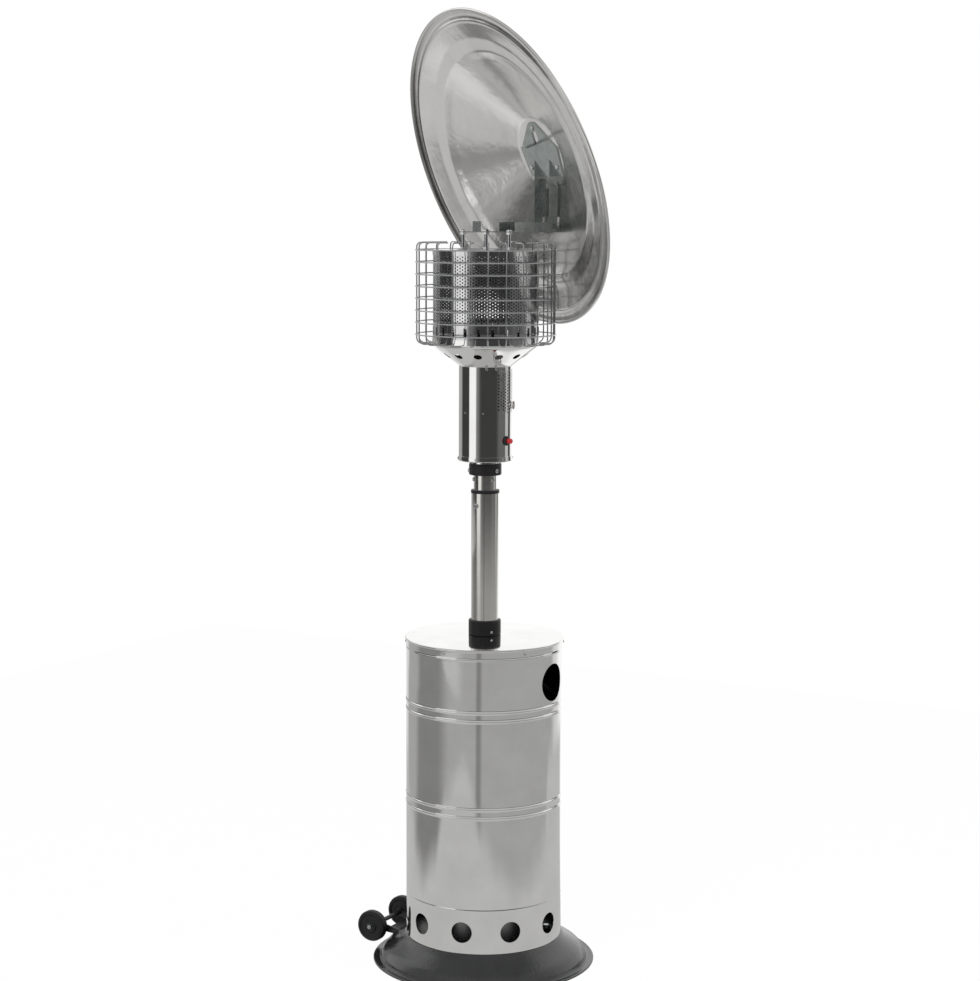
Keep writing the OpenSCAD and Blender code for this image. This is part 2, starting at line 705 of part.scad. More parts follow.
// The shelf across the housing that the gas valve stands on, with its rim turned down
module valve_shelf() color("#9a9b9c") difference() {
    translate([0, 0, shelf_z]) rotate_extrude() polygon([[0, 0],
        [housing_r - housing_t - touch_gap - shelf_t, 0],
        [housing_r - housing_t - touch_gap - shelf_t, -shelf_flange],
        [housing_r - housing_t - touch_gap, -shelf_flange], [housing_r - housing_t - touch_gap, shelf_t],
        [0, shelf_t]]);
    translate([0, 0, shelf_z - overrun]) cylinder(h = shelf_t + 2 * overrun, r = valve_port_r + hole_gap);
    for (angle = rivet_angles) facing(angle, shelf_z - shelf_flange / 2)
        stub(housing_r - 5 * housing_t, 10 * housing_t, small_shank_r + hole_gap);
}

module shelf_rivets() color("#b9bbbc") for (angle = rivet_angles)
    facing(angle, shelf_z - shelf_flange / 2) translate([0, 0, housing_r + touch_gap])
        screw(rivet_r, rivet_h, small_shank_r, 4 * housing_t);

// The brass gas valve: its body, hose inlet underneath, outlet and nozzle on top, and knob stem
module control_valve() color("#b08d4a") {
    axis_z = housing_z + knob_z;
    translate([0, 0, shelf_z + shelf_t]) {
        radial(knob_angle) translate([-valve_w / 2, -valve_w / 2, 0]) cube([valve_l, valve_w, valve_h]);
        translate([0, 0, valve_h]) cylinder(h = valve_port_h - nozzle_r / 2, r = valve_port_r);
        translate([0, 0, valve_h]) cylinder(h = nozzle_h, r = nozzle_r / 2);
    }
    translate([0, 0, shelf_z - inlet_h]) cylinder(h = inlet_h + shelf_t, r = valve_port_r);
    facing(knob_angle, axis_z) {
        stub(0, housing_r - 4 * housing_t, stem_hole_r - housing_t);
        stub(0, housing_r + knob_off + knob_t - 2 * touch_gap, stem_r);
    }
}

module valve_knob() color("#7b4a3a") facing(knob_angle, housing_z + knob_z)
    translate([0, 0, housing_r + knob_off]) rotate_extrude() polygon([
        [stem_r + run_gap, 0], [knob_r, 0], [knob_r, 0.8 * knob_t],
        [0.85 * knob_r, knob_t], [stem_r + run_gap, knob_t]]);

module igniter_body() color("#121212") facing(igniter_angle, housing_z + igniter_z) {
    rotate_extrude() {
        front = housing_r + touch_gap;
        bore = button_r + run_gap;
        back = front + bezel_h - button_in - button_travel - rest_gap;
        polygon([[0, front - igniter_body_l], [igniter_barrel_r, front - igniter_body_l],
            [igniter_barrel_r, front], [bezel_r, front], [bezel_r, front + bezel_h / 3],
            [igniter_barrel_r, front + bezel_h], [bore, front + bezel_h], [bore, back], [0, back]]);
    }
}

module igniter_button() color("#a3191d") facing(igniter_angle, housing_z + igniter_z)
    translate([0, 0, housing_r + touch_gap + bezel_h - button_in]) rotate_extrude() polygon([
        [0, 0], [button_r, 0], [button_r, button_in + button_out - bezel_h - 0.3 * button_r],
        [0.7 * button_r, button_in + button_out - bezel_h], [0, button_in + button_out - bezel_h]]);

// The venturi tube that carries gas and air up to the burner
module mixer_tube() color("#8d8e8f") rotate_extrude() {
    top = plate_z - touch_gap;
    throat = mixer_throat_share * mixer_r;
    waist = (mixer_z + top) / 2;
    polygon([[mixer_r + mixer_flare - mixer_t, mixer_z], [mixer_r + mixer_flare, mixer_z],
        [throat + mixer_t, mixer_z + 2 * mixer_flare], [throat + mixer_t, waist],
        [mixer_r + mixer_t, top - mixer_flare], [mixer_r + mixer_flare, top - mixer_t],
        [mixer_r + mixer_flare, top], [mixer_r, top], [mixer_r, top - mixer_flare],
        [throat, waist], [throat, mixer_z + 2 * mixer_flare]]);
}

// Outer line of the bowl: the cone, its shoulder and the straight band
function bowl_point(share) = [housing_r + (bowl_r - housing_r) * share[0], bowl_z + bowl_h * share[1]];
function bowl_line() = concat([[bowl_neck_r, bowl_z - bowl_neck_h], [bowl_neck_r, bowl_z + touch_gap],
    [housing_r, bowl_z + touch_gap]], [for (share = bowl_shares) bowl_point(share)], [[bowl_r, bowl_top]]);

module burner_bowl() color("#b9babb") difference() {
    cone_start = bowl_point(bowl_shares[0]);
    cone_end = bowl_point(bowl_shares[1]);
    slope = atan2(cone_end[1] - cone_start[1], cone_end[0] - cone_start[0]);
    middle = cone_start + bowl_hole_share * (cone_end - cone_start);
    rotate_extrude() polygon(concat(bowl_line(),
        reversed(concat([[bowl_neck_r - bowl_t, bowl_z - bowl_neck_h],
            [bowl_neck_r - bowl_t, bowl_z + bowl_t + touch_gap]],
            [for (share = bowl_shares) bowl_point(share) + [-bowl_t, bowl_t / 2]],
            [[bowl_r - bowl_t, bowl_top]]))));
    around(bowl_hole_count, bowl_hole_start) radial(0) translate([middle[0], 0, middle[1]])
        rotate([0, -slope, 0]) cylinder(h = 10 * bowl_t, r = bowl_hole_r, center = true);
    for (angle = bowl_screw_angles) facing(angle, housing_top - bowl_screw_drop)
        stub(housing_r - 5 * housing_t, 10 * housing_t, small_shank_r + hole_gap);
}

module bowl_screws() color("#8f9091") for (angle = bowl_screw_angles)
    facing(angle, housing_top - bowl_screw_drop) translate([0, 0, housing_r + touch_gap])
        screw(small_head_r, small_head_h, small_shank_r, 4 * housing_t);

// The plate across the bowl that carries the burner, with its air holes
module burner_plate() color("#8d8e8f") difference() {
    translate([0, 0, plate_z]) rotate_extrude() polygon([[mixer_r, 0], [plate_r, 0], [plate_r, plate_rim],
        [plate_r - plate_t, plate_rim], [plate_r - plate_t, plate_t], [mixer_r, plate_t]]);
    around(plate_hole_count, 0) radial(0) translate([plate_hole_share * plate_r, 0, plate_z - overrun])
        cylinder(h = plate_t + 2 * overrun, r = plate_hole_r);
}

module burner_head() color("#a0a1a2") difference() {
    translate([0, 0, plate_z + plate_t]) rotate_extrude() polygon([
        [burner_r - burner_t, 0], [burner_r, 0], [burner_r, 0.8 * burner_h], [0.8 * burner_r, burner_h],
        [0, burner_h], [0, burner_h - burner_t], [0.8 * burner_r - burner_t, burner_h - burner_t],
        [burner_r - burner_t, 0.8 * burner_h - burner_t]]);
    around(burner_slots, 0) radial(0) translate([burner_r - 2 * burner_t, -burner_slot_w / 2,
        plate_z + plate_t + 2 * burner_t]) cube([4 * burner_t, burner_slot_w, burner_slot_h]);
}

// The thermocouple and the spark electrode beside the burner
module pilot_probes() color("#c8c4ba") radial(probe_angle)
    for (place = [[-1, probe_r], [1, electrode_r]])
        translate([burner_r + probe_gap, place[0] * probe_gap, plate_z + plate_t])
            cylinder(h = probe_h, r = place[1]);

module emitter_screen() color("#9c9da0") difference() {
    rows = screen_rows - 1;
    rise = (screen_h - screen_first_row - screen_last_drop) / rows;
    step = 360 / screen_columns;
    translate([0, 0, screen_z]) tube(screen_h, screen_r, screen_r - screen_t);
    for (j = [0 : rows]) around(screen_columns, (j % 2) * step / 2)
        facing(0, screen_z + screen_first_row + j * rise)
            stub(screen_r - 4 * screen_t, 6 * screen_t, screen_hole_r);
    around(slot_count, 180 / slot_count) radial(0)
        translate([screen_r - 5 * screen_t, -slot_w / 2, bowl_top + slot_rise])
            cube([10 * screen_t, slot_w, slot_h]);
}

module emitter_cap() color("#a9aaab") rotate_extrude() polygon([
    [0, cap_top - cap_t], [cap_r - cap_round - cap_t, cap_top - cap_t], [cap_r - cap_t, cap_top - cap_round],
    [cap_r - cap_t, cap_top - cap_skirt], [cap_r, cap_top - cap_skirt], [cap_r, cap_top - cap_round],
    [cap_r - cap_round, cap_top], [0, cap_top]]);

module guard_rings() color("#c4c6c8") {
    low = guard_foot_z + ring_foot_gap;
    high = guard_head_z - ring_head_gap;
    for (i = [0 : guard_rings_count - 1])
        translate([0, 0, low + i * (high - low) / (guard_rings_count - 1)])
            rotate_extrude() translate([guard_r, 0]) circle(wire_r);
}

// One upright wire, with both ends bent in towards the burner
module guard_wire() {
    top = guard_head_z - wire_bend;
    low = guard_foot_z + wire_bend;
    knee = wire_track - wire_bend;
    translate([wire_track, 0, low]) cylinder(h = top - low, r = wire_r);
    for (bend = [[top, 1, wire_head_end], [low, -1, wire_foot_end]]) translate([knee, 0, bend[0]]) {
        rotate([90, 0, 0]) rotate([0, 0, bend[1] > 0 ? 0 : -90])
            rotate_extrude(angle = 90) translate([wire_bend, 0]) circle(wire_r);
        translate([bend[2] - knee, 0, bend[1] * wire_bend]) rotate([0, 90, 0])
            cylinder(h = knee - bend[2], r = wire_r);
    }
}

module guard_wires() color("#c4c6c8") around(guard_wires_count, wire_start) radial(0) guard_wire();

// The hinge side of the head is drawn along +X and turned to its angle
module hinge_side() radial(hinge_angle) children();

module stud_places() for (turn = [60, 180, 300]) rotate([0, 0, turn]) translate([stud_circle, 0, 0]) children();

module hinge_studs() color("#d0d2d3") hinge_side() stud_places() {
    translate([0, 0, cap_top])
        cylinder(h = frame_z - cap_top + frame_t + stud_lock_h + stud_tip, r = stud_r);
    translate([0, 0, cap_top]) cylinder(h = stud_nut_h, r = stud_nut_r, $fn = 6);
    translate([0, 0, frame_z - stud_nut_h]) cylinder(h = stud_nut_h, r = stud_nut_r, $fn = 6);
    translate([0, 0, frame_z + frame_t]) cylinder(h = stud_lock_h, r = stud_nut_r, $fn = 6);
}

// The plate on the studs, with the channel that holds the hinge pin and the catch tab
module hinge_frame() color("#a7aba6") hinge_side() difference() {
    union() {
        translate([0, 0, frame_z]) linear_extrude(frame_t) {
            polygon([for (turn = [60, 180, 300], side = [-60, 60])
                stud_circle * [cos(turn), sin(turn)] + stud_pad_r * [cos(turn + side), sin(turn + side)]]);
            translate([0, -channel_w / 2]) square([hinge_s + channel_end, channel_w]);
        }
        for (side = [-1, 1]) translate([channel_front, side * (channel_w - frame_t) / 2 - frame_t / 2, frame_z])
            cube([hinge_s + channel_end - channel_front, frame_t, channel_h]);
        translate([catch_s, -catch_w / 2, frame_z]) cube([frame_t, catch_w, catch_h + frame_t]);
    }
    stud_places() translate([0, 0, frame_z - overrun])
        cylinder(h = frame_t + 2 * overrun, r = stud_r + hole_gap);
    translate([hinge_s, 0, hinge_z]) rotate([90, 0, 0])
        cylinder(h = channel_w + 2 * overrun, r = pin_r + touch_gap, center = true);
}

module hinge_pin() color("#c9cbcc") hinge_side() translate([hinge_s, 0, hinge_z]) rotate([90, 0, 0]) {
    length = channel_w + 2 * touch_gap;
    cylinder(h = length + 2 * pin_head_h, r = pin_r, center = true);
    for (side = [-1, 1]) translate([0, 0, side * (length + pin_head_h) / 2])
        cylinder(h = pin_head_h, r = pin_head_r, center = true);
}

// Tips its children up about the hinge pin, from the closed place to the open one
module tipped_up() hinge_side() translate([hinge_s, 0, hinge_z]) rotate([0, open_angle, 0])
    translate([-hinge_s, 0, -hinge_z]) children();

// One arm of the bracket, an angle section that runs from the pin up to the hub plate
module arm(inward) translate([hinge_s, 0, hinge_z]) rotate([0, arm_slope, 0]) {
    length = (hinge_s - arm_root_share * hub_r) / cos(arm_slope);
    upright(arm_t) {
        translate([-length, -arm_half_w]) square([length, 2 * arm_half_w]);
        circle(eye_r);
    }
    mirror([0, inward > 0 ? 0 : 1, 0]) translate([-length, 0, arm_half_w - arm_t])
        cube([length - 2 * arm_half_w, arm_flange, arm_t]);
}

// The sprung hook that snaps over the catch tab when the reflector is closed
module hook() translate([catch_s - catch_gap, 0, bracket_z]) rotate([90, 0, 0])
    linear_extrude(hook_w, center = true) polygon([[0, bracket_plate_t], [-arm_t, bracket_plate_t],
        [-arm_t, -hook_l + hook_lead], [-arm_t - hook_lead, -hook_l], [-hook_lead, -hook_l],
        [0, -hook_l + hook_lead]]);

module reflector_bracket() color("#8f938c") tipped_up() difference() {
    union() {
        difference() {
            translate([0, 0, bracket_z]) linear_extrude(bracket_plate_t)
                polygon(hub_r * bracket_outline_shares);
            translate([catch_s - catch_gap - arm_t - lance_l, -hook_w / 2, bracket_z - overrun])
                cube([lance_l, hook_w, bracket_plate_t + 2 * overrun]);
        }
        for (side = [-1, 1]) translate([0, side * arm_y, 0]) arm(-side);
        hook();
    }
    translate([0, 0, bracket_z + bracket_plate_t]) cylinder(h = hub_rise, r = hub_r);
    bracket_screw_places() translate([0, 0, -overrun])
        cylinder(h = bracket_plate_t + 2 * overrun, r = small_shank_r + hole_gap);
    translate([hinge_s, 0, hinge_z]) rotate([90, 0, 0])
        cylinder(h = channel_w, r = pin_r + run_gap, center = true);
}

// The three screw places on the hub, on the bracket's underside
module bracket_screw_places() for (turn = [60, 180, 300]) rotate([0, 0, turn])
    translate([bracket_screw_r, 0, bracket_z]) children();

module bracket_screws() color("#6b6d6e") tipped_up() bracket_screw_places() {
    translate([0, 0, -touch_gap]) rotate([180, 0, 0])
        screw(bracket_screw_head_r, medium_head_h, small_shank_r, 3 * bracket_plate_t);
    translate([0, 0, bracket_plate_t + 2 * touch_gap + reflector_t])
        cylinder(h = medium_head_h, r = bracket_screw_head_r, $fn = 6);
}

// The spun reflector: rolled rim, stepped outer band with its bead, cone and flat hub
function reflector_point(share) = [reflector_r * share[0], hub_z - reflector_h * (1 - share[1])];
function reflector_line() = concat([[reflector_r - bead_r, hub_z - reflector_h + bead_r]],
    [for (share = reflector_shares) reflector_point(share)], [[hub_r, hub_z], [0, hub_z]]);

module reflector() color("#c3c1bf") tipped_up() difference() {
    union() {
        rotate_extrude() polygon(concat(reflector_line(),
            reversed([for (p = reflector_line()) p + [0, reflector_t]])));
        translate([0, 0, hub_z - reflector_h + bead_r])
            rotate_extrude() translate([reflector_r - bead_r, 0]) circle(bead_r);
    }
    bracket_screw_places() cylinder(h = 4 * bracket_plate_t, r = small_shank_r + hole_gap);
}

base_pan();
wheel_bracket();
wheel_axle();
left_wheel();
right_wheel();
support_legs();
leg_bolts();
post_socket();
lower_post();
post_cap_ring();
height_screw();
barrel_shell();
barrel_lid();
lid_screws();
barrel_collar();
barrel_collar_screw();
upper_post();
post_guide_ring();
upper_post_screws();
top_collar();
top_collar_screws();
housing_base();
head_housing();
housing_screws();
valve_shelf();
shelf_rivets();
control_valve();
valve_knob();
igniter_body();
igniter_button();
mixer_tube();
burner_bowl();
bowl_screws();
burner_plate();
burner_head();
pilot_probes();
emitter_screen();
emitter_cap();
guard_rings();
guard_wires();
hinge_studs();
hinge_frame();
hinge_pin();
reflector_bracket();
bracket_screws();
reflector();
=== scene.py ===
"""Patio heater: finishes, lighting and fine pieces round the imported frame. Lengths are in metres."""
import json
import math

import bpy
import bmesh
from mathutils import Matrix, Vector


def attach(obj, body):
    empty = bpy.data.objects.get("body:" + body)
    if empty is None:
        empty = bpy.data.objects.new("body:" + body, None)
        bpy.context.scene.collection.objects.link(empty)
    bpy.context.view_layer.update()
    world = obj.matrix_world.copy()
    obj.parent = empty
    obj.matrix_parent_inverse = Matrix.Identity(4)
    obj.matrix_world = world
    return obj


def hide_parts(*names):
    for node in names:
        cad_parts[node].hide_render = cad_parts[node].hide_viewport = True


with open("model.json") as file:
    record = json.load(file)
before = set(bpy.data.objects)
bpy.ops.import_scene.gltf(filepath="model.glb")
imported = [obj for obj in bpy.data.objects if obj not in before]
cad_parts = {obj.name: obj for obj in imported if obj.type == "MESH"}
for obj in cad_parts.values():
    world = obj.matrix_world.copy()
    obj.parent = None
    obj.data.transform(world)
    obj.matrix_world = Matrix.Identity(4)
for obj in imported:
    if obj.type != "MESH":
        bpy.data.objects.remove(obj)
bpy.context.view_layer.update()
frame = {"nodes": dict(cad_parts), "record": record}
NODES = frame["nodes"]

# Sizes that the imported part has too
HINGE_ANGLE = math.radians(60.4)
HINGE_S = 0.150
HINGE_Z = 1.6252
OPEN_ANGLE = math.radians(69.0)
BARREL_R = 0.1723
SCREEN_R = 0.1145
SCREEN_T = 0.0008
SCREEN_Z = 1.3731
SCREEN_TOP = 1.5721
WIRE_R = 0.0015


def tree_of(material):
    """Empties a material's node tree and returns it."""
    material.use_nodes = True
    tree = material.node_tree
    tree.nodes.clear()
    return tree


def add(tree, kind, inputs=None, **settings):
    """Adds a node, sets its attributes and its input values or links."""
    node = tree.nodes.new(kind)
    for key, value in settings.items():
        setattr(node, key, value)
    for key, value in (inputs or {}).items():
        socket = node.inputs[key]
        if isinstance(value, bpy.types.NodeSocket):
            tree.links.new(value, socket)
        else:
            socket.default_value = value
    return node


def math_node(tree, operation, a, b=0.0):
    return add(tree, "ShaderNodeMath", {0: a, 1: b}, operation=operation).outputs[0]


def mix(tree, factor, a, b, blend_type="MIX"):
    """Mixes two colours."""
    return add(tree, "ShaderNodeMix", {"Factor": factor, 6: a, 7: b}, data_type="RGBA",
        blend_type=blend_type).outputs[2]


def smooth_step(tree, value, low, high):
    """Rises smoothly from 0 at low to 1 at high."""
    return add(tree, "ShaderNodeMapRange", {"Value": value, "From Min": low, "From Max": high},
        interpolation_type="SMOOTHSTEP").outputs["Result"]


def ramp(tree, factor, stops, mode="EASE"):
    """A colour ramp whose stops are (place, grey or colour)."""
    node = add(tree, "ShaderNodeValToRGB", {"Fac": factor})
    points = node.color_ramp.elements
    node.color_ramp.interpolation = mode
    while len(points) > 1:
        points.remove(points[-1])
    for i, (place, value) in enumerate(stops):
        colour = (value, value, value, 1) if isinstance(value, (int, float)) else (*value, 1)
        point = points[0] if i == 0 else points.new(place)
        point.position = place
        point.color = colour
    return node.outputs["Color"]


def stretched_noise(tree, stretch, detail=4.0, rough=0.55, seed=0.0):
    """Noise in the object's own metres, stretched along each axis."""
    place = add(tree, "ShaderNodeTexCoord").outputs["Object"]
    place = add(tree, "ShaderNodeMapping", {"Vector": place, "Location": (seed, seed, seed), "Scale": stretch})
    return add(tree, "ShaderNodeTexNoise", {"Vector": place.outputs["Vector"], "Scale": 1.0,
        "Detail": detail, "Roughness": rough}).outputs["Fac"]


def range_of(tree, value, low, high, from_low=0.3, from_high=0.7):
    return add(tree, "ShaderNodeMapRange", {"Value": value, "From Min": from_low, "From Max": from_high,
        "To Min": low, "To Max": high}).outputs["Result"]


def bump(tree, height, strength, distance, normal=None):
    inputs = {"Height": height, "Strength": strength, "Distance": distance}
    if normal is not None:
        inputs["Normal"] = normal
    return add(tree, "ShaderNodeBump", inputs).outputs["Normal"]


def surface(name, dark, light, rough, metallic=0.0, layers=(), patch=(14, 14, 14), **fixed):
    """A Principled material: colour and roughness follow noise, and each layer adds relief.

    A layer is (stretch, strength, distance, detail)."""
    material = bpy.data.materials.new(name)
    tree = tree_of(material)
    clouds = stretched_noise(tree, patch, detail=5.0, seed=3.7)
    colour = mix(tree, range_of(tree, clouds, 0.0, 1.0), (*dark, 1), (*light, 1))
    grain_stretch = layers[0][0] if layers else patch
    grain = stretched_noise(tree, grain_stretch, detail=3.0, seed=9.1)
    inputs = {"Base Color": colour, "Metallic": metallic, "Roughness": range_of(tree, grain, *rough)}
    normal = None
    for i, (stretch, strength, distance, detail) in enumerate(layers):
        height = stretched_noise(tree, stretch, detail=detail, seed=1.3 * i)
        normal = bump(tree, height, strength, distance, normal)
    if normal is not None:
        inputs["Normal"] = normal
    for key, value in fixed.items():
        inputs[key.replace("_", " ")] = value
    shader = add(tree, "ShaderNodeBsdfPrincipled", inputs)
    add(tree, "ShaderNodeOutputMaterial", {"Surface": shader.outputs["BSDF"]})
    return material


ROUND_GRAIN = (3, 3, 900)
SHEET_WAVE = (5, 5, 2.2)

MATERIALS = {
    "polished_steel": surface("polished_steel", (0.76, 0.755, 0.74), (0.84, 0.835, 0.82), (0.035, 0.085), 1.0,
        [(ROUND_GRAIN, 0.02, 0.0002, 2.0), (SHEET_WAVE, 0.05, 0.004, 1.0)]),
    "satin_steel": surface("satin_steel", (0.66, 0.645, 0.61), (0.74, 0.725, 0.69), (0.08, 0.14), 1.0,
        [(ROUND_GRAIN, 0.025, 0.0002, 2.0), (SHEET_WAVE, 0.08, 0.004, 1.0)]),
    "dull_steel": surface("dull_steel", (0.2, 0.2, 0.2), (0.34, 0.33, 0.32), (0.3, 0.5), 1.0,
        [((60, 60, 60), 0.1, 0.001, 3.0)]),
    "emitter_steel": surface("emitter_steel", (0.55, 0.55, 0.56), (0.72, 0.72, 0.72), (0.06, 0.14), 1.0,
        [(ROUND_GRAIN, 0.04, 0.0002, 2.0), ((7, 7, 4), 0.05, 0.004, 1.0)]),
    "bright_wire": surface("bright_wire", (0.42, 0.425, 0.43), (0.56, 0.565, 0.57), (0.08, 0.15), 1.0,
        [((300, 300, 300), 0.05, 0.0003, 2.0)]),
    "zinc": surface("zinc", (0.33, 0.36, 0.345), (0.42, 0.45, 0.435), (0.16, 0.28), 0.9,
        [((220, 220, 220), 0.12, 0.0004, 3.0)], patch=(60, 60, 60)),
    "dark_screw": surface("dark_screw", (0.50, 0.50, 0.50), (0.66, 0.66, 0.65), (0.16, 0.28), 1.0,
        [((400, 400, 400), 0.1, 0.0003, 2.0)]),
    "spun_aluminium": surface("spun_aluminium", (0.60, 0.59, 0.57), (0.70, 0.69, 0.67), (0.22, 0.32), 1.0,
        [((60, 60, 60), 0.05, 0.001, 3.0)]),
    # Painted shade: a dark steel for the inner faces of the barrel and the screen
    "inner_steel": surface("inner_steel", (0.05, 0.05, 0.05), (0.10, 0.098, 0.095), (0.4, 0.55), 1.0,
        [((60, 60, 60), 0.1, 0.001, 3.0)]),
    "brass": surface("brass", (0.50, 0.36, 0.15), (0.66, 0.49, 0.22), (0.2, 0.35), 1.0,
        [((200, 200, 200), 0.08, 0.0004, 3.0)]),
    "hammertone": surface("hammertone", (0.012, 0.0125, 0.0135), (0.024, 0.0245, 0.026), (0.12, 0.2), 0.25,
        [((170, 170, 170), 0.4, 0.0010, 1.0), ((420, 420, 420), 0.15, 0.0005, 2.0)],
        **{"Specular IOR Level": 1.0}),
    "black_paint": surface("black_paint", (0.008, 0.008, 0.009), (0.016, 0.016, 0.017), (0.3, 0.42), 0.0,
        [((500, 500, 500), 0.1, 0.0003, 2.0)]),
    "black_plastic": surface("black_plastic", (0.008, 0.008, 0.009), (0.015, 0.015, 0.016), (0.36, 0.5), 0.0,
        [((900, 900, 900), 0.2, 0.0003, 2.0)], **{"Specular IOR Level": 0.25}),
    "white_plastic": surface("white_plastic", (0.6, 0.6, 0.57), (0.72, 0.72, 0.69), (0.4, 0.5), 0.0,
        [((500, 500, 500), 0.1, 0.0003, 2.0)]),
    "brown_plastic": surface("brown_plastic", (0.055, 0.028, 0.028), (0.095, 0.045, 0.042), (0.3, 0.42), 0.0,
        [((700, 700, 700), 0.15, 0.0003, 2.0)]),
    "red_plastic": surface("red_plastic", (0.30, 0.006, 0.010), (0.42, 0.010, 0.016), (0.16, 0.26), 0.0,
        [((300, 300, 300), 0.05, 0.0003, 2.0)], Coat_Weight=0.4),
}

for part in frame["record"]["subparts"]:
    mesh = NODES[part["node"]].data
    mesh.materials.clear()
    mesh.materials.append(MATERIALS[part["material_slot"]])


def finish_mesh(name, bm, sharp=32):
    """Turns a bmesh into a mesh with smooth faces and hard edges past an angle."""
    bmesh.ops.remove_doubles(bm, verts=bm.verts, dist=1e-6)
    bmesh.ops.recalc_face_normals(bm, faces=bm.faces)
    for face in bm.faces:
        face.smooth = True
    for line in bm.edges:
        line.smooth = line.is_manifold and line.calc_face_angle(0) < math.radians(sharp)
    mesh = bpy.data.meshes.new(name)
    bm.to_mesh(mesh)
    bm.free()
    return mesh


def piece(name, mesh, slot, body, replaces=(), matrix=None, material=None):
    """Adds a mesh as a piece that rides on a body and stands for the named solids."""
    mesh.materials.append(material or MATERIALS[slot])
    obj = bpy.data.objects.new(name, mesh)
    if matrix is not None:
        obj.matrix_world = matrix
    bpy.context.scene.collection.objects.link(obj)
    bpy.context.view_layer.update()
    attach(obj, body)
    if replaces:
        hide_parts(*replaces)
    return obj


def flowing(points, steps=6):
    """A smooth open curve through the points."""
    out = []
    ends = [points[0]] + list(points) + [points[-1]]
    for i in range(1, len(ends) - 2):
        a, b, c, d = (Vector(p) for p in ends[i - 1:i + 3])
        for k in range(steps):
            t = k / steps
            out.append(tuple(0.5 * ((2 * b) + (c - a) * t + (2 * a - 5 * b + 4 * c - d) * t * t
                + (3 * b - a - 3 * c + d) * t ** 3)))
    out.append(tuple(points[-1]))
    return out


def sheet_outline(line, thickness):
    """Closes an open line of (radius, height) into a sheet, with its thickness to the line's left."""
    inner = []
    for i, point in enumerate(line):
        ahead = Vector(line[min(i + 1, len(line) - 1)]) - Vector(line[max(i - 1, 0)])
        normal = Vector((-ahead.y, ahead.x)).normalized() * thickness
        inner.append((max(point[0] + normal.x, 0.0), point[1] + normal.y))
    return list(line) + inner[::-1]


def lathe_bmesh(outline, segments=192):
    """Revolves a closed outline of (radius, height) round the z axis."""
    bm = bmesh.new()
    rings = []
    for radius, height in outline:
        if radius < 1e-7:
            rings.append([bm.verts.new((0, 0, height))] * segments)
        else:
            rings.append([bm.verts.new((radius * math.cos(2 * math.pi * k / segments),
                radius * math.sin(2 * math.pi * k / segments), height)) for k in range(segments)])
    for i, ring in enumerate(rings):
        after = rings[(i + 1) % len(rings)]
        for k in range(segments):
            corners = []
            for vert in (ring[k], ring[(k + 1) % segments], after[(k + 1) % segments], after[k]):
                if vert not in corners:
                    corners.append(vert)
            if len(corners) > 2:
                bm.faces.new(corners)
    return bm


def lathe(name, outline, segments=192, sharp=32):
    return finish_mesh(name, lathe_bmesh(outline, segments), sharp)


def from_front(degrees, radius, height):
    """A point at an angle from the front, counted anticlockwise from above."""
    angle = math.radians(degrees)
    return Vector((radius * math.sin(angle), -radius * math.cos(angle), height))


def applied(obj):
    """The object's mesh with its modifiers, as a bmesh. The object itself goes."""
    bpy.context.view_layer.update()
    mesh = bpy.data.meshes.new_from_object(obj.evaluated_get(bpy.context.evaluated_depsgraph_get()))
    bpy.data.objects.remove(obj)
    bm = bmesh.new()
    bm.from_mesh(mesh)
    return bm


def join_in(bm, other):
    """Moves another bmesh's faces into this one."""
    spare = bpy.data.meshes.new("spare")
    other.to_mesh(spare)
    other.free()
    bm.from_mesh(spare)
    bpy.data.meshes.remove(spare)


def drilled(name, mesh, holes, sharp=32):
    """Cuts round holes, each (centre, direction, radius, depth), out of a mesh."""
    scene = bpy.context.scene
    body = bpy.data.objects.new(name, mesh)
    scene.collection.objects.link(body)
    drill = bmesh.new()
    for centre, direction, radius, depth in holes:
        turn = Vector(direction).to_track_quat("Z", "Y").to_matrix().to_4x4()
        bmesh.ops.create_cone(drill, cap_ends=True, segments=64, radius1=radius, radius2=radius, depth=depth,
            matrix=Matrix.Translation(centre) @ turn)
    cutter_mesh = bpy.data.meshes.new(name + "_drill")
    drill.to_mesh(cutter_mesh)
    drill.free()
    cutter = bpy.data.objects.new(name + "_drill", cutter_mesh)
    scene.collection.objects.link(cutter)
    modifier = body.modifiers.new("holes", "BOOLEAN")
    modifier.operation = "DIFFERENCE"
    modifier.solver = "EXACT"
    modifier.object = cutter
    bm = applied(body)
    bpy.data.objects.remove(cutter)
    return finish_mesh(name, bm, sharp)


def painted_shade_inside(mesh):
    """Gives the faces that look at the post's axis a second, darker material: painted shade for the inside."""
    for face in mesh.polygons:
        middle, normal = face.center, face.normal
        if normal.x * middle.x + normal.y * middle.y < -0.2 * math.hypot(middle.x, middle.y):
            face.material_index = 1
    return MATERIALS["inner_steel"]


def sweep(bm, points, radius, sides=10):
    """Sweeps a round wire along the points and closes its ends."""
    rings = []
    normal = None
    for i, point in enumerate(points):
        ahead, behind = points[min(i + 1, len(points) - 1)], points[max(i - 1, 0)]
        along = (Vector(ahead) - Vector(behind)).normalized()
        if normal is None:
            normal = along.orthogonal().normalized()
        normal = (normal - along * normal.dot(along)).normalized()
        across = along.cross(normal)
        rings.append([bm.verts.new(Vector(point) + radius * (normal * math.cos(2 * math.pi * k / sides)
            + across * math.sin(2 * math.pi * k / sides))) for k in range(sides)])
    for here, there in zip(rings, rings[1:]):
        for k in range(sides):
            n = (k + 1) % sides
            bm.faces.new((here[k], here[n], there[n], there[k]))
    bm.faces.new(rings[0][::-1])
    bm.faces.new(rings[-1])
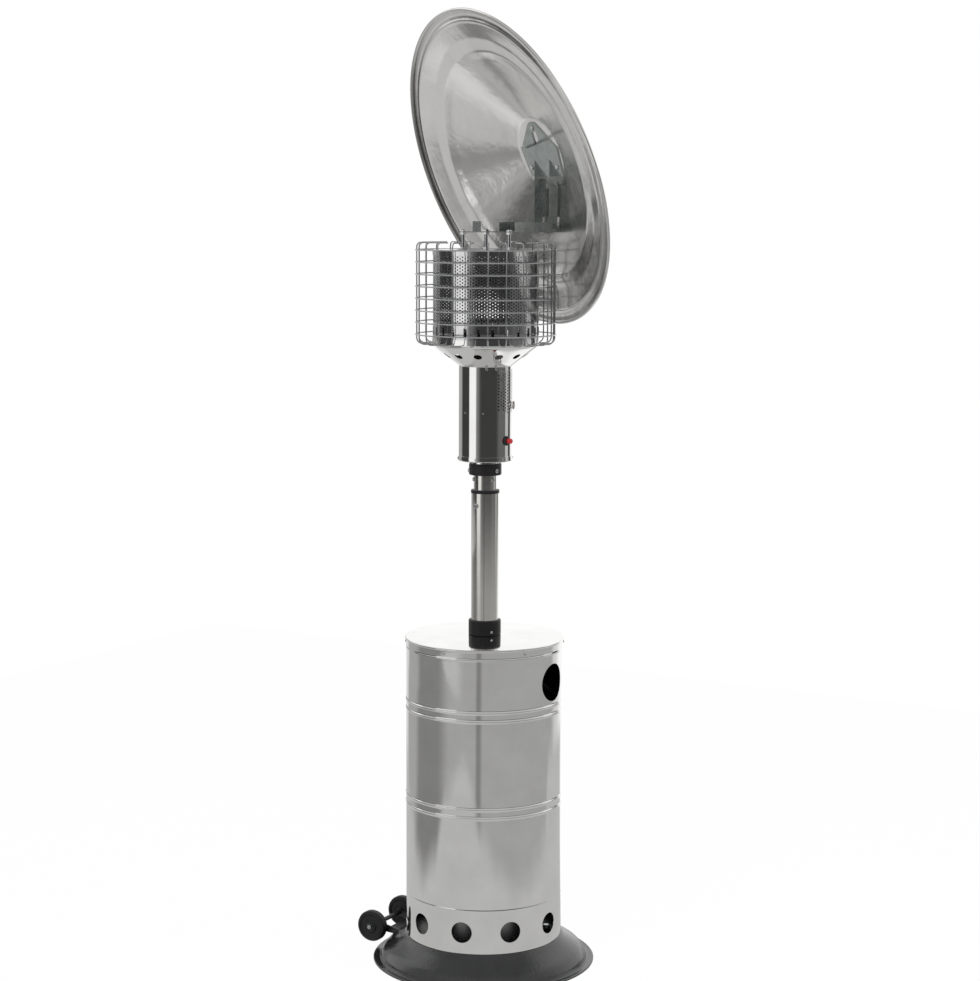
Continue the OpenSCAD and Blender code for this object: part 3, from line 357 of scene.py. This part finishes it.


# Degrees round the hub and how bright the dish is there: painted reflection, lighter and darker wedges with a darker
# streak
PAINTED_REFLECTION_WEDGES = [(0, 0.90), (20, 1.0), (80, 1.0), (130, 0.92), (180, 0.90), (240, 0.92), (270, 0.96), (300, 1.0),
    (345, 1.0), (360, 0.90)]
# Degrees round the hub and the rim's painted shade, darkest over one side
PAINTED_RIM_SHADE = [(0, 0.92), (90, 0.95), (170, 0.7), (205, 0.42), (300, 0.44), (330, 0.75), (360, 0.92)]
# Radii between which the dish's painted reflection gives way to the painted shade of its edge
EDGE_START, EDGE_END = 0.342, 0.346


def wedges(tree, turn, tones):
    return ramp(tree, turn, [(degrees / 360, tone) for degrees, tone in tones], "B_SPLINE")


def spun_finish(tilt):
    """Spun aluminium: fine rings from the lathe, broad clouds and streaks that run out from the hub, with painted
    reflection in wedges round the hub and painted shade on one side of the rim.
    """
    material = bpy.data.materials.new("spun_aluminium_rings")
    tree = tree_of(material)
    back = tilt.inverted()
    place = add(tree, "ShaderNodeTexCoord").outputs["Object"]
    place = add(tree, "ShaderNodeMapping", {"Vector": place, "Location": tuple(back.translation),
        "Rotation": tuple(back.to_euler())}, vector_type="POINT").outputs["Vector"]
    flat = add(tree, "ShaderNodeVectorMath", {0: place, 1: (1, 1, 0)}, operation="MULTIPLY").outputs["Vector"]
    reach = add(tree, "ShaderNodeVectorMath", {0: flat}, operation="LENGTH").outputs["Value"]
    unit = add(tree, "ShaderNodeVectorMath", {0: flat}, operation="NORMALIZE").outputs["Vector"]
    rays = add(tree, "ShaderNodeTexNoise", {"Vector": unit, "Scale": 2.6, "Detail": 4.0,
        "Roughness": 0.6}).outputs["Fac"]
    rings_at = add(tree, "ShaderNodeCombineXYZ", {"X": reach}).outputs["Vector"]
    rings = add(tree, "ShaderNodeTexNoise", {"Vector": rings_at, "Scale": 900.0, "Detail": 3.0,
        "Roughness": 0.7}).outputs["Fac"]
    wide_rings = add(tree, "ShaderNodeTexNoise", {"Vector": rings_at, "Scale": 60.0, "Detail": 2.0,
        "Roughness": 0.6}).outputs["Fac"]
    clouds = stretched_noise(tree, (7, 7, 7), detail=4.0, seed=5.1)
    tone = math_node(tree, "ADD", math_node(tree, "MULTIPLY", rays, 0.5), math_node(tree, "MULTIPLY", clouds, 0.5))
    colour = ramp(tree, tone, [(0.3, (0.78, 0.77, 0.75)), (0.5, (0.88, 0.87, 0.85)), (0.68, (0.95, 0.94, 0.92))])
    axes = add(tree, "ShaderNodeSeparateXYZ", {"Vector": flat})
    turn = math_node(tree, "ARCTAN2", axes.outputs["Y"], axes.outputs["X"])
    turn = math_node(tree, "ADD", math_node(tree, "DIVIDE", turn, 2 * math.pi), 0.5)
    # Painted reflection: the dish lighter and darker in wedges round the hub
    colour = mix(tree, 1.0, colour, wedges(tree, turn, PAINTED_REFLECTION_WEDGES), "MULTIPLY")
    edge = smooth_step(tree, reach, EDGE_START, EDGE_END)
    # Painted shade: the rim darker on one side
    colour = mix(tree, edge, colour, wedges(tree, turn, PAINTED_RIM_SHADE), "MULTIPLY")
    normal = bump(tree, rings, 0.12, 0.0004)
    normal = bump(tree, wide_rings, 0.10, 0.0015, normal)
    normal = bump(tree, clouds, 0.15, 0.02, normal)
    along = add(tree, "ShaderNodeVectorMath", {0: (0, 0, 1), 1: flat}, operation="CROSS_PRODUCT").outputs["Vector"]
    along = add(tree, "ShaderNodeMapping", {"Vector": along, "Rotation": tuple(tilt.to_euler())},
        vector_type="VECTOR").outputs["Vector"]
    along = add(tree, "ShaderNodeVectorTransform", {"Vector": along}, vector_type="VECTOR", convert_from="OBJECT",
        convert_to="WORLD").outputs["Vector"]
    shader = add(tree, "ShaderNodeBsdfPrincipled", {"Base Color": colour, "Metallic": 1.0,
        "Roughness": range_of(tree, rays, 0.15, 0.24), "Normal": normal, "Tangent": along, "Anisotropic": 0.6,
        "Anisotropic Rotation": 0.25})
    add(tree, "ShaderNodeOutputMaterial", {"Surface": shader.outputs["BSDF"]})
    return material


# Base pan: one flowing pressed line from the rim to the ledge, with the raised bottle floor
PAN_T = 0.002
PAN_FLOOR_R = 0.1699
pan_line = ([(0.2400, 0.0004), (0.2440, 0.0002), (0.2458, 0.0016), (0.2460, 0.0036), (0.2450, 0.0048)]
    + flowing([(0.2430, 0.0050), (0.2330, 0.0052), (0.2295, 0.0095), (0.2262, 0.0170), (0.2160, 0.0298),
        (0.2012, 0.0402), (0.1868, 0.0505), (0.1785, 0.0580), (0.1752, 0.0612)], 7)
    + [(0.1700, 0.0614), (0.1698, 0.0652), (0.1692, 0.0654), (0.0, 0.0654)])
base = lathe("base_pressing", sheet_outline(pan_line, PAN_T), 256, sharp=60)
piece("base_pressing", base, "hammertone", "stand", ["base_pan"])
# The raised floor inside the barrel is black: painted shade, seen through the vent holes
base.materials.append(MATERIALS["black_paint"])
for polygon in base.polygons:
    if math.hypot(polygon.center.x, polygon.center.y) < PAN_FLOOR_R:
        polygon.material_index = 1

# Axle: black rod with its washers, and a domed bolt head at each end
AXLE_R = 0.005
AXLE_Y = 0.254
AXLE_Z = 0.047
EAR_X = 0.050
WASHER_R = 0.009
AXLE_END = 0.0753
EAR_FACE = EAR_X + 0.0001
axle_at = Matrix.Translation((0, AXLE_Y, AXLE_Z)) @ Matrix.Rotation(math.pi / 2, 4, "Y")
half_rod = [(AXLE_R, EAR_FACE), (WASHER_R - 0.0004, EAR_FACE), (WASHER_R, EAR_FACE + 0.0004),
    (WASHER_R, EAR_FACE + 0.0011), (WASHER_R - 0.0004, EAR_FACE + 0.0015), (AXLE_R, EAR_FACE + 0.0015),
    (AXLE_R, AXLE_END), (WASHER_R - 0.0004, AXLE_END), (WASHER_R, AXLE_END + 0.0004), (WASHER_R, AXLE_END + 0.0011),
    (WASHER_R - 0.0004, AXLE_END + 0.0015), (0.0, AXLE_END + 0.0015)]
rod = lathe("axle_rod", [(r, -x) for r, x in half_rod[::-1]] + half_rod, 64)
piece("axle_rod", rod, "black_paint", "stand", ["wheel_axle"], axle_at)
bm = bmesh.new()
for side_of in (-1, 1):
    start = side_of * (AXLE_END + 0.0016)
    head = [(0.0, start), (0.0048, start), (0.0052, start + side_of * 0.0004), (0.0052, start + side_of * 0.0018),
        (0.0046, start + side_of * 0.0028), (0.0028, start + side_of * 0.0036), (0.0, start + side_of * 0.0038)]
    join_in(bm, lathe_bmesh(head, 48))
piece("axle_bolts", finish_mesh("axle_bolts", bm), "zinc", "stand", (), axle_at)

# Barrel shell: rolled ridges, vent holes and hand holes
BARREL_Z = 0.0617
BARREL_TOP = 0.7291
SHEET_T = 0.0008
VENT_COUNT, VENT_START = 10, -4
VENT_R, VENT_Z, VENT_DEPTH = 0.023, 0.1087, 0.03
HAND_R, HAND_Z, HAND_DEPTH = 0.041, 0.6441, 0.06
# Height, width and rise of each ridge
RIDGES = [(0.1577, 0.006, 0.0004), (0.3622, 0.009, 0.0014), (0.3812, 0.009, 0.0014), (0.5737, 0.009, 0.0014),
    (0.5927, 0.009, 0.0014), (0.7075, 0.007, 0.0007)]


def ridge(height, width, rise):
    """The outer line over one rolled ridge, with short flats beside it that keep the wall's shading plain."""
    return [(BARREL_R + rise * math.cos(math.pi / 2 * max(-1, min(1, t))) ** 2, height + width / 2 * t)
        for t in (-1.45, -1.2, -1, -0.75, -0.5, -0.25, 0, 0.25, 0.5, 0.75, 1, 1.2, 1.45)]


shell_line = [(BARREL_R, BARREL_Z)]
for measures in RIDGES:
    shell_line += ridge(*measures)
shell_line.append((BARREL_R, BARREL_TOP))
shell = lathe("barrel_sheet", sheet_outline(shell_line, SHEET_T), 256)
holes = []
for k in range(VENT_COUNT):
    angle = VENT_START + 360 / VENT_COUNT * k
    holes.append((from_front(angle, BARREL_R, VENT_Z), from_front(angle, 1, 0), VENT_R, VENT_DEPTH))
for angle in (0, 180):
    holes.append((from_front(angle, BARREL_R, HAND_Z), from_front(angle, 1, 0), HAND_R, HAND_DEPTH))
shell = drilled("barrel_sheet", shell, holes)
# The inner faces get painted shade, so the holes look dark
inner = painted_shade_inside(shell)
piece("barrel_sheet", shell, "polished_steel", "barrel", ["barrel_shell"])
shell.materials.append(inner)

# Lid: domed top, rolled edge and skirt
lid_line = ([(0.03115, 0.7338), (0.0445, 0.7338)] + flowing([(0.0445, 0.7338), (0.1000, 0.7326), (0.1500, 0.7309),
    (0.1680, 0.7302), (0.1725, 0.7301), (0.1744, 0.7294), (0.1750, 0.7278), (0.1746, 0.7262), (0.1734, 0.7245),
    (0.1732, 0.7200), (0.1732, 0.7122)], 5))
lid = lathe("lid_sheet", sheet_outline(lid_line, -SHEET_T), 256, sharp=50)
piece("lid_sheet", lid, "polished_steel", "barrel", ["barrel_lid"])

# Burner bowl: spun cone, rounded shoulder and band, with round air holes
bowl_line = ([(0.0569, 1.3121), (0.0569, 1.3242), (0.0580, 1.3243)] + flowing([(0.0580, 1.3250), (0.0600, 1.3272),
    (0.0850, 1.3459), (0.1080, 1.3628), (0.1135, 1.3676), (0.1157, 1.3715), (0.1160, 1.3760), (0.1160, 1.3851)], 6))
bowl = lathe("bowl_sheet", sheet_outline(bowl_line, 0.001), 192, sharp=50)
CONE_RUN, CONE_RISE = 0.0522, 0.0397
AIR_COUNT, AIR_START = 12, -11
AIR_PLACE_R, AIR_Z = 0.0878, 1.3480
AIR_R, AIR_DEPTH = 0.009, 0.012
slope = math.atan2(CONE_RISE, CONE_RUN)
holes = []
for k in range(AIR_COUNT):
    angle = AIR_START + 360 / AIR_COUNT * k
    direction = from_front(angle, 1, 0) * math.sin(slope) - Vector((0, 0, math.cos(slope)))
    holes.append((from_front(angle, AIR_PLACE_R, AIR_Z), direction, AIR_R, AIR_DEPTH))
piece("bowl_sheet", drilled("bowl_sheet", bowl, holes, 50), "polished_steel", "mast", ["burner_bowl"])

# Emitter screen: fine staggered perforation above a band of upright slots
EMITTER_COLUMNS = 120
EMITTER_ROWS = 22
PERFORATION_LOW = 1.4180
PERFORATION_HIGH = 1.5670
PERFORATION_HOLE = 0.0018
SLOT_LOW, SLOT_HIGH = 1.3911, 1.4101
SLOT_HALF = 0.0033
SLOT_END = 0.7 * SLOT_HALF
SLOT_MARGIN = 0.003
SLOT_EVERY = 5
half_step = math.pi / EMITTER_COLUMNS


def on_screen(step, height, aside=0.0):
    """A point of the screen's outer face, at a number of half columns from the front."""
    angle = step * half_step + aside / SCREEN_R - math.pi / 2
    return bm.verts.new((SCREEN_R * math.cos(angle), SCREEN_R * math.sin(angle), height))


def plain_cell(step, low, high):
    """One column's cell without a hole."""
    for k in (-1, 0):
        bm.faces.new([on_screen(step + k, low), on_screen(step + k + 1, low), on_screen(step + k + 1, high),
            on_screen(step + k, high)])


def holed_cell(step, low, high, hole):
    """One cell round a hole, whose eight points (aside, height) start at the lower left."""
    middle = (low + high) / 2
    rim = [on_screen(step + u, z) for u, z in ((-1, low), (0, low), (1, low), (1, middle), (1, high), (0, high),
        (-1, high), (-1, middle))]
    inner = [on_screen(step, z, x) for x, z in hole]
    for k in range(8):
        n = (k + 1) % 8
        bm.faces.new((rim[k], rim[n], inner[n], inner[k]))


bm = bmesh.new()
row_pitch = (PERFORATION_HIGH - PERFORATION_LOW) / EMITTER_ROWS
band_low, band_high, band_middle = SLOT_LOW - SLOT_MARGIN, SLOT_HIGH + SLOT_MARGIN, (SLOT_LOW + SLOT_HIGH) / 2
eighths = [math.radians(225 + 45 * k) for k in range(8)]
for column in range(EMITTER_COLUMNS):
    step = 2 * column + 1
    shift = row_pitch / 2 * (column % 2)
    if shift:
        plain_cell(step, PERFORATION_LOW, PERFORATION_LOW + shift)
        plain_cell(step, PERFORATION_HIGH - shift, PERFORATION_HIGH)
    for row in range(EMITTER_ROWS - column % 2):
        low = PERFORATION_LOW + shift + row * row_pitch
        holed_cell(step, low, low + row_pitch, [(PERFORATION_HOLE * math.cos(t),
            low + row_pitch / 2 + PERFORATION_HOLE * math.sin(t)) for t in eighths])
    plain_cell(step, PERFORATION_HIGH, SCREEN_TOP)
    plain_cell(step, band_high, PERFORATION_LOW)
    plain_cell(step, SCREEN_Z, band_low)
    if column % SLOT_EVERY == 2:
        holed_cell(step, band_low, band_high, [(-SLOT_HALF, SLOT_LOW + SLOT_END), (0, SLOT_LOW),
            (SLOT_HALF, SLOT_LOW + SLOT_END), (SLOT_HALF, band_middle), (SLOT_HALF, SLOT_HIGH - SLOT_END),
            (0, SLOT_HIGH), (-SLOT_HALF, SLOT_HIGH - SLOT_END), (-SLOT_HALF, band_middle)])
    else:
        plain_cell(step, band_low, band_middle)
        plain_cell(step, band_middle, band_high)
bmesh.ops.remove_doubles(bm, verts=bm.verts, dist=2e-6)
open_sheet = bpy.data.meshes.new("screen_face")
bm.to_mesh(open_sheet)
bm.free()
holder = bpy.data.objects.new("screen_face", open_sheet)
bpy.context.scene.collection.objects.link(holder)
thicken = holder.modifiers.new("thickness", "SOLIDIFY")
thicken.thickness = SCREEN_T
thicken.offset = -1
screen = finish_mesh("screen_sheet", applied(holder))
# The inner faces get painted shade, so the slots and perforation look dark
inner = painted_shade_inside(screen)
piece("screen_sheet", screen, "emitter_steel", "mast", ["emitter_screen"])
screen.materials.append(inner)

# Guard wires: bent in over the head, with a sprung bend at the foot that bears on the bowl
WIRE_TRACK = 0.1494
HEAD_Z = 1.5902
WIRE_COUNT, WIRE_START = 24, 2
wire_line = ([(0.1187, HEAD_Z), (0.1300, HEAD_Z), (0.1404, HEAD_Z), (0.1440, HEAD_Z - 0.0007),
    (0.1468, HEAD_Z - 0.0026), (0.1487, HEAD_Z - 0.0054), (WIRE_TRACK, HEAD_Z - 0.0090), (WIRE_TRACK, 1.50),
    (WIRE_TRACK, 1.44), (WIRE_TRACK, 1.3880)]
    + flowing([(WIRE_TRACK, 1.3850), (0.1486, 1.3808), (0.1462, 1.3768), (0.1424, 1.3738), (0.1380, 1.3726),
        (0.1280, 1.3724), (0.1176, 1.3722)], 3))
bm = bmesh.new()
for k in range(WIRE_COUNT):
    turn = Matrix.Rotation(math.radians(WIRE_START + 360 / WIRE_COUNT * k - 90), 4, "Z")
    sweep(bm, [turn @ Vector((r, 0, z)) for r, z in wire_line], WIRE_R)
piece("guard_uprights", finish_mesh("guard_uprights", bm, 60), "bright_wire", "mast", ["guard_wires"])

# Valve knob: pale skirt with a dark moulded face
KNOB_OUT = 0.0585
KNOB_BORE = 0.00256
KNOB_ANGLE = 17
KNOB_Z = 1.2402
knob_turn = from_front(KNOB_ANGLE, 1, 0).to_track_quat("Z", "Y").to_matrix().to_4x4()
knob_at = Matrix.Translation(from_front(KNOB_ANGLE, KNOB_OUT, KNOB_Z)) @ knob_turn
skirt = [(KNOB_BORE, 0.0), (0.0074, 0.0), (0.0078, 0.0004), (0.0078, 0.0026), (0.0083, 0.0031), (0.0083, 0.0034),
    (KNOB_BORE, 0.0034)]
piece("knob_skirt", lathe("knob_skirt", skirt, 96), "white_plastic", "knob", ["valve_knob"], knob_at)
face = [(KNOB_BORE, 0.00341), (0.0084, 0.00341), (0.0090, 0.0038), (0.0090, 0.0043), (0.0084, 0.0049),
    (0.0056, 0.0050), (0.0050, 0.0048), (KNOB_BORE, 0.0048)]
piece("knob_face", lathe("knob_face", face, 96), "brown_plastic", "knob", (), knob_at)

# Spun reflector, drawn closed round its own axis and tipped up about the hinge pin
TILT = (Matrix.Rotation(HINGE_ANGLE - math.pi / 2, 4, "Z") @ Matrix.Translation((HINGE_S, 0, HINGE_Z))
    @ Matrix.Rotation(OPEN_ANGLE, 4, "Y") @ Matrix.Translation((-HINGE_S, 0, -HINGE_Z)))


def bent(points, radius, steps=5):
    """An open line with its inner corners rounded."""
    out = [points[0]]
    for i in range(1, len(points) - 1):
        here, before, after = Vector(points[i]), Vector(points[i - 1]), Vector(points[i + 1])
        start = here + (before - here).normalized() * min(radius, (before - here).length * 0.45)
        end = here + (after - here).normalized() * min(radius, (after - here).length * 0.45)
        for k in range(steps + 1):
            t = k / steps
            out.append(tuple(start.lerp(here, t).lerp(here.lerp(end, t), t)))
    return out + [points[-1]]


BEAD_PLACE_R, BEAD_Z = 0.3550, 1.5743
BEAD_R, BEAD_SIDES = 0.004, 20
dish_line = bent([(0.3535, 1.5766), (0.3520, 1.5773), (0.3440, 1.5793), (0.3368, 1.5790), (0.3277, 1.5750),
    (0.2860, 1.5905), (0.2590, 1.5920), (0.2385, 1.6030), (0.0820, 1.6697), (0.0, 1.6697)], 0.006)
dish = lathe_bmesh(sheet_outline(dish_line, -0.001), 256)
bead = [(BEAD_PLACE_R + BEAD_R * math.cos(2 * math.pi * k / BEAD_SIDES),
    BEAD_Z + BEAD_R * math.sin(2 * math.pi * k / BEAD_SIDES)) for k in range(BEAD_SIDES)]
join_in(dish, lathe_bmesh(bead, 256))
dish.transform(TILT)
piece("spun_reflector", finish_mesh("spun_reflector", dish, 50), "spun_aluminium", "reflector", ["reflector"],
    material=spun_finish(TILT))

# Studio: white to the camera, with flat panels at seven plain levels that only reflections see
VIEW_AZIMUTH = math.radians(-150)


def turn_from_view(tree, vector):
    """Share of a full turn round +Z, 0.5 towards the photograph's viewpoint, growing to its right."""
    axes = add(tree, "ShaderNodeSeparateXYZ", {"Vector": vector})
    turn = math_node(tree, "ARCTAN2", axes.outputs["Y"], axes.outputs["X"])
    turn = math_node(tree, "ADD", turn, math.pi - VIEW_AZIMUTH + 2 * math.pi)
    turn = math_node(tree, "DIVIDE", turn, 2 * math.pi)
    return math_node(tree, "FRACT", turn), axes


def panel_ramp(tree, turn, panels):
    """A ramp round the viewpoint from a list of (angle in degrees, value)."""
    return ramp(tree, turn, [((degrees + 180) / 360, value) for degrees, value in panels])


# Brightness of the studio's panels
FLAG, DARK, DIM, GREY, MID, PALE, WHITE = 0.05, 0.14, 0.25, 0.42, 0.55, 0.75, 1.1

# The panels round the studio: angles from the viewpoint in degrees, and the panel there
HIGH_SURROUND = [(-180, WHITE), (-165, GREY), (-128, GREY), (-115, FLAG), (-76, FLAG), (-72, WHITE), (-44, WHITE),
    (-38, DIM), (-18, FLAG), (45, FLAG), (65, DARK), (94, DARK), (97, MID), (114, MID), (117, FLAG), (127, FLAG),
    (142, WHITE), (180, WHITE)]
SKY = [(-180, WHITE), (-146, MID), (-134, WHITE), (-110, WHITE), (-98, MID), (60, MID), (126, WHITE), (180, WHITE)]
DEEP_SURROUND = [(-180, MID), (-162, WHITE), (-153, WHITE), (-149, DARK), (-139, DARK), (-134, MID), (-98, MID),
    (-76, DIM), (-71, WHITE), (-45, WHITE), (-10, GREY), (60, GREY), (120, MID), (180, MID)]
LOW_SURROUND = [(-180, PALE), (-152, PALE), (-143, GREY), (-120, GREY), (-105, DIM), (-74, DIM), (-58, MID),
    (-44, MID), (-28, GREY), (-13, GREY), (-10, DIM), (-7, DIM), (-2, GREY), (110, GREY), (126, PALE), (145, WHITE),
    (180, WHITE)]
FAR_FLOOR = [(-180, PALE), (-152, PALE), (-143, GREY), (-120, GREY), (-105, DIM), (-72, DIM), (-48, GREY),
    (-13, GREY), (-10, DIM), (-7, DIM), (-2, GREY), (110, GREY), (127, PALE), (150, WHITE), (180, WHITE)]
NEAR_FLOOR = [(-180, PALE), (-160, MID), (142, MID), (152, WHITE), (168, WHITE), (180, PALE)]
# How far the floor's near part reaches at each angle, as a share of FLOOR_REACH
FLOOR_OUTLINE = [(-180, 1.0), (-128, 0.5), (-110, 0.34), (-92, 0.28), (-72, 0.36), (-55, 0.62), (-30, 0.8), (0, 0.45),
    (20, 0.32), (42, 0.24), (62, 0.27), (80, 0.34), (95, 0.42), (108, 0.8), (180, 1.0)]
FLOOR_REACH = 2.4
# How far before and past that outline, in metres, the near part gives way to the far one
FLOOR_BLEND = (-0.05, 0.45)
# Heights of a direction between which the deep panels give way to the low ones, and so on up to the ceiling
DEEP_TO_LOW, LOW_TO_HIGH, HIGH_TO_SKY, SKY_TO_CEILING = (-0.27, -0.21), (-0.165, -0.125), (0.03, 0.16), (0.76, 0.9)

world = bpy.data.worlds.new("studio")
bpy.context.scene.world = world
tree = tree_of(world)
direction = add(tree, "ShaderNodeTexCoord").outputs["Generated"]
turn, axes = turn_from_view(tree, direction)
height = axes.outputs["Z"]
bands = mix(tree, smooth_step(tree, height, *LOW_TO_HIGH), panel_ramp(tree, turn, LOW_SURROUND),
    panel_ramp(tree, turn, HIGH_SURROUND))
bands = mix(tree, smooth_step(tree, height, *DEEP_TO_LOW), panel_ramp(tree, turn, DEEP_SURROUND), bands)
bands = mix(tree, smooth_step(tree, height, *HIGH_TO_SKY), bands, panel_ramp(tree, turn, SKY))
bands = mix(tree, smooth_step(tree, height, *SKY_TO_CEILING), bands, (GREY, GREY, GREY, 1))
path = add(tree, "ShaderNodeLightPath")
white = add(tree, "ShaderNodeBackground", {"Color": (1, 1, 1, 1), "Strength": 1.0})
seen = add(tree, "ShaderNodeBackground", {"Color": bands, "Strength": 1.0})
soft = add(tree, "ShaderNodeBackground", {"Color": (0.8, 0.8, 0.81, 1), "Strength": 0.8})
bare = math_node(tree, "MAXIMUM", path.outputs["Is Camera Ray"], path.outputs["Is Transmission Ray"])
lit = add(tree, "ShaderNodeMixShader", {0: path.outputs["Is Glossy Ray"], 1: soft.outputs[0], 2: seen.outputs[0]})
lit = add(tree, "ShaderNodeMixShader", {0: bare, 1: lit.outputs[0], 2: white.outputs[0]})
add(tree, "ShaderNodeOutputWorld", {"Surface": lit.outputs[0]})

# Floor: nearly white to the camera, lit by the lamps where the object's shadow falls
FLOOR_HALF = 3.0
FLOOR_DROP = 0.0004
GLOW_SHARE = 0.97
floor_mesh = bpy.data.meshes.new("floor")
floor_mesh.from_pydata([(-FLOOR_HALF, -FLOOR_HALF, 0), (FLOOR_HALF, -FLOOR_HALF, 0), (FLOOR_HALF, FLOOR_HALF, 0),
    (-FLOOR_HALF, FLOOR_HALF, 0)], [], [(0, 1, 2, 3)])
floor = bpy.data.objects.new("floor", floor_mesh)
floor.location.z = -FLOOR_DROP
bpy.context.scene.collection.objects.link(floor)
material = bpy.data.materials.new("pale_floor")
floor_mesh.materials.append(material)
tree = tree_of(material)
place = add(tree, "ShaderNodeTexCoord").outputs["Object"]
turn = turn_from_view(tree, place)[0]
reach = add(tree, "ShaderNodeVectorMath", {0: place}, operation="LENGTH").outputs["Value"]
# To reflections the floor glows: painted light in panels round the viewpoint, near ones and far ones
outline = math_node(tree, "MULTIPLY", panel_ramp(tree, turn, FLOOR_OUTLINE), FLOOR_REACH)
far = smooth_step(tree, math_node(tree, "SUBTRACT", reach, outline), *FLOOR_BLEND)
shine = mix(tree, far, panel_ramp(tree, turn, NEAR_FLOOR), panel_ramp(tree, turn, FAR_FLOOR))
path = add(tree, "ShaderNodeLightPath")
chalk = add(tree, "ShaderNodeBsdfDiffuse", {"Color": (0.92, 0.92, 0.92, 1)})
white = add(tree, "ShaderNodeEmission", {"Color": (1, 1, 1, 1), "Strength": 1.0})
shown = add(tree, "ShaderNodeMixShader", {0: GLOW_SHARE, 1: chalk.outputs[0], 2: white.outputs[0]})
glow = add(tree, "ShaderNodeEmission", {"Color": shine, "Strength": 1.0})
lit = add(tree, "ShaderNodeMixShader", {0: path.outputs["Is Glossy Ray"], 1: chalk.outputs[0], 2: glow.outputs[0]})
lit = add(tree, "ShaderNodeMixShader", {0: path.outputs["Is Camera Ray"], 1: lit.outputs[0], 2: shown.outputs[0]})
add(tree, "ShaderNodeOutputMaterial", {"Surface": lit.outputs[0]})


def softbox(name, place, target, size, power):
    """A soft area lamp that reflections don't show."""
    data = bpy.data.lights.new(name, "AREA")
    data.shape = "RECTANGLE"
    data.size, data.size_y = size
    data.energy = power
    lamp = bpy.data.objects.new(name, data)
    lamp.location = place
    lamp.rotation_euler = (Vector(target) - Vector(place)).to_track_quat("-Z", "Y").to_euler()
    lamp.visible_glossy = False
    bpy.context.scene.collection.objects.link(lamp)
    return lamp


softbox("key", (-2.6, -0.2, 2.6), (0, 0, 1.0), (1.6, 2.2), 60)
softbox("fill", (0.8, -3.0, 1.8), (0, 0, 0.9), (1.4, 2.4), 22)
# The card lights nothing: it is one more pale panel in reflections
card = softbox("card", (-0.22, 1.36, 0.78), (-0.22, 1.36, 2.0), (1.05, 0.95), 0.95)
card.visible_glossy = True
card.visible_camera = False
card.visible_diffuse = False

# Camera at the photograph's viewpoint
CAMERA_DISTANCE = 4.8498
CAMERA_SIDE = 0.0105
CAMERA_HEIGHT = 1.6524
CAMERA_PITCH = math.radians(7.06)
CAMERA_ROLL = math.radians(0.235)
FOCAL_PIXELS = 2237.7
LONG_SIDE_PIXELS = 981
SENSOR = 36.0
towards = Vector((math.cos(VIEW_AZIMUTH), math.sin(VIEW_AZIMUTH), 0))
side = Vector((-towards.y, towards.x, 0))
camera_data = bpy.data.cameras.new("camera")
camera_data.sensor_width = SENSOR
camera_data.lens = FOCAL_PIXELS / LONG_SIDE_PIXELS * SENSOR
camera = bpy.data.objects.new("camera", camera_data)
camera.location = towards * CAMERA_DISTANCE + side * CAMERA_SIDE + Vector((0, 0, CAMERA_HEIGHT))
heading = math.atan2(-towards.y, -towards.x) - math.pi / 2
camera.matrix_world = (Matrix.Translation(camera.location) @ Matrix.Rotation(heading, 4, "Z")
    @ Matrix.Rotation(math.pi / 2 - CAMERA_PITCH, 4, "X") @ Matrix.Rotation(CAMERA_ROLL, 4, "Z"))
bpy.context.scene.collection.objects.link(camera)
bpy.context.scene.camera = camera

bpy.context.scene.view_settings.view_transform = "Standard"
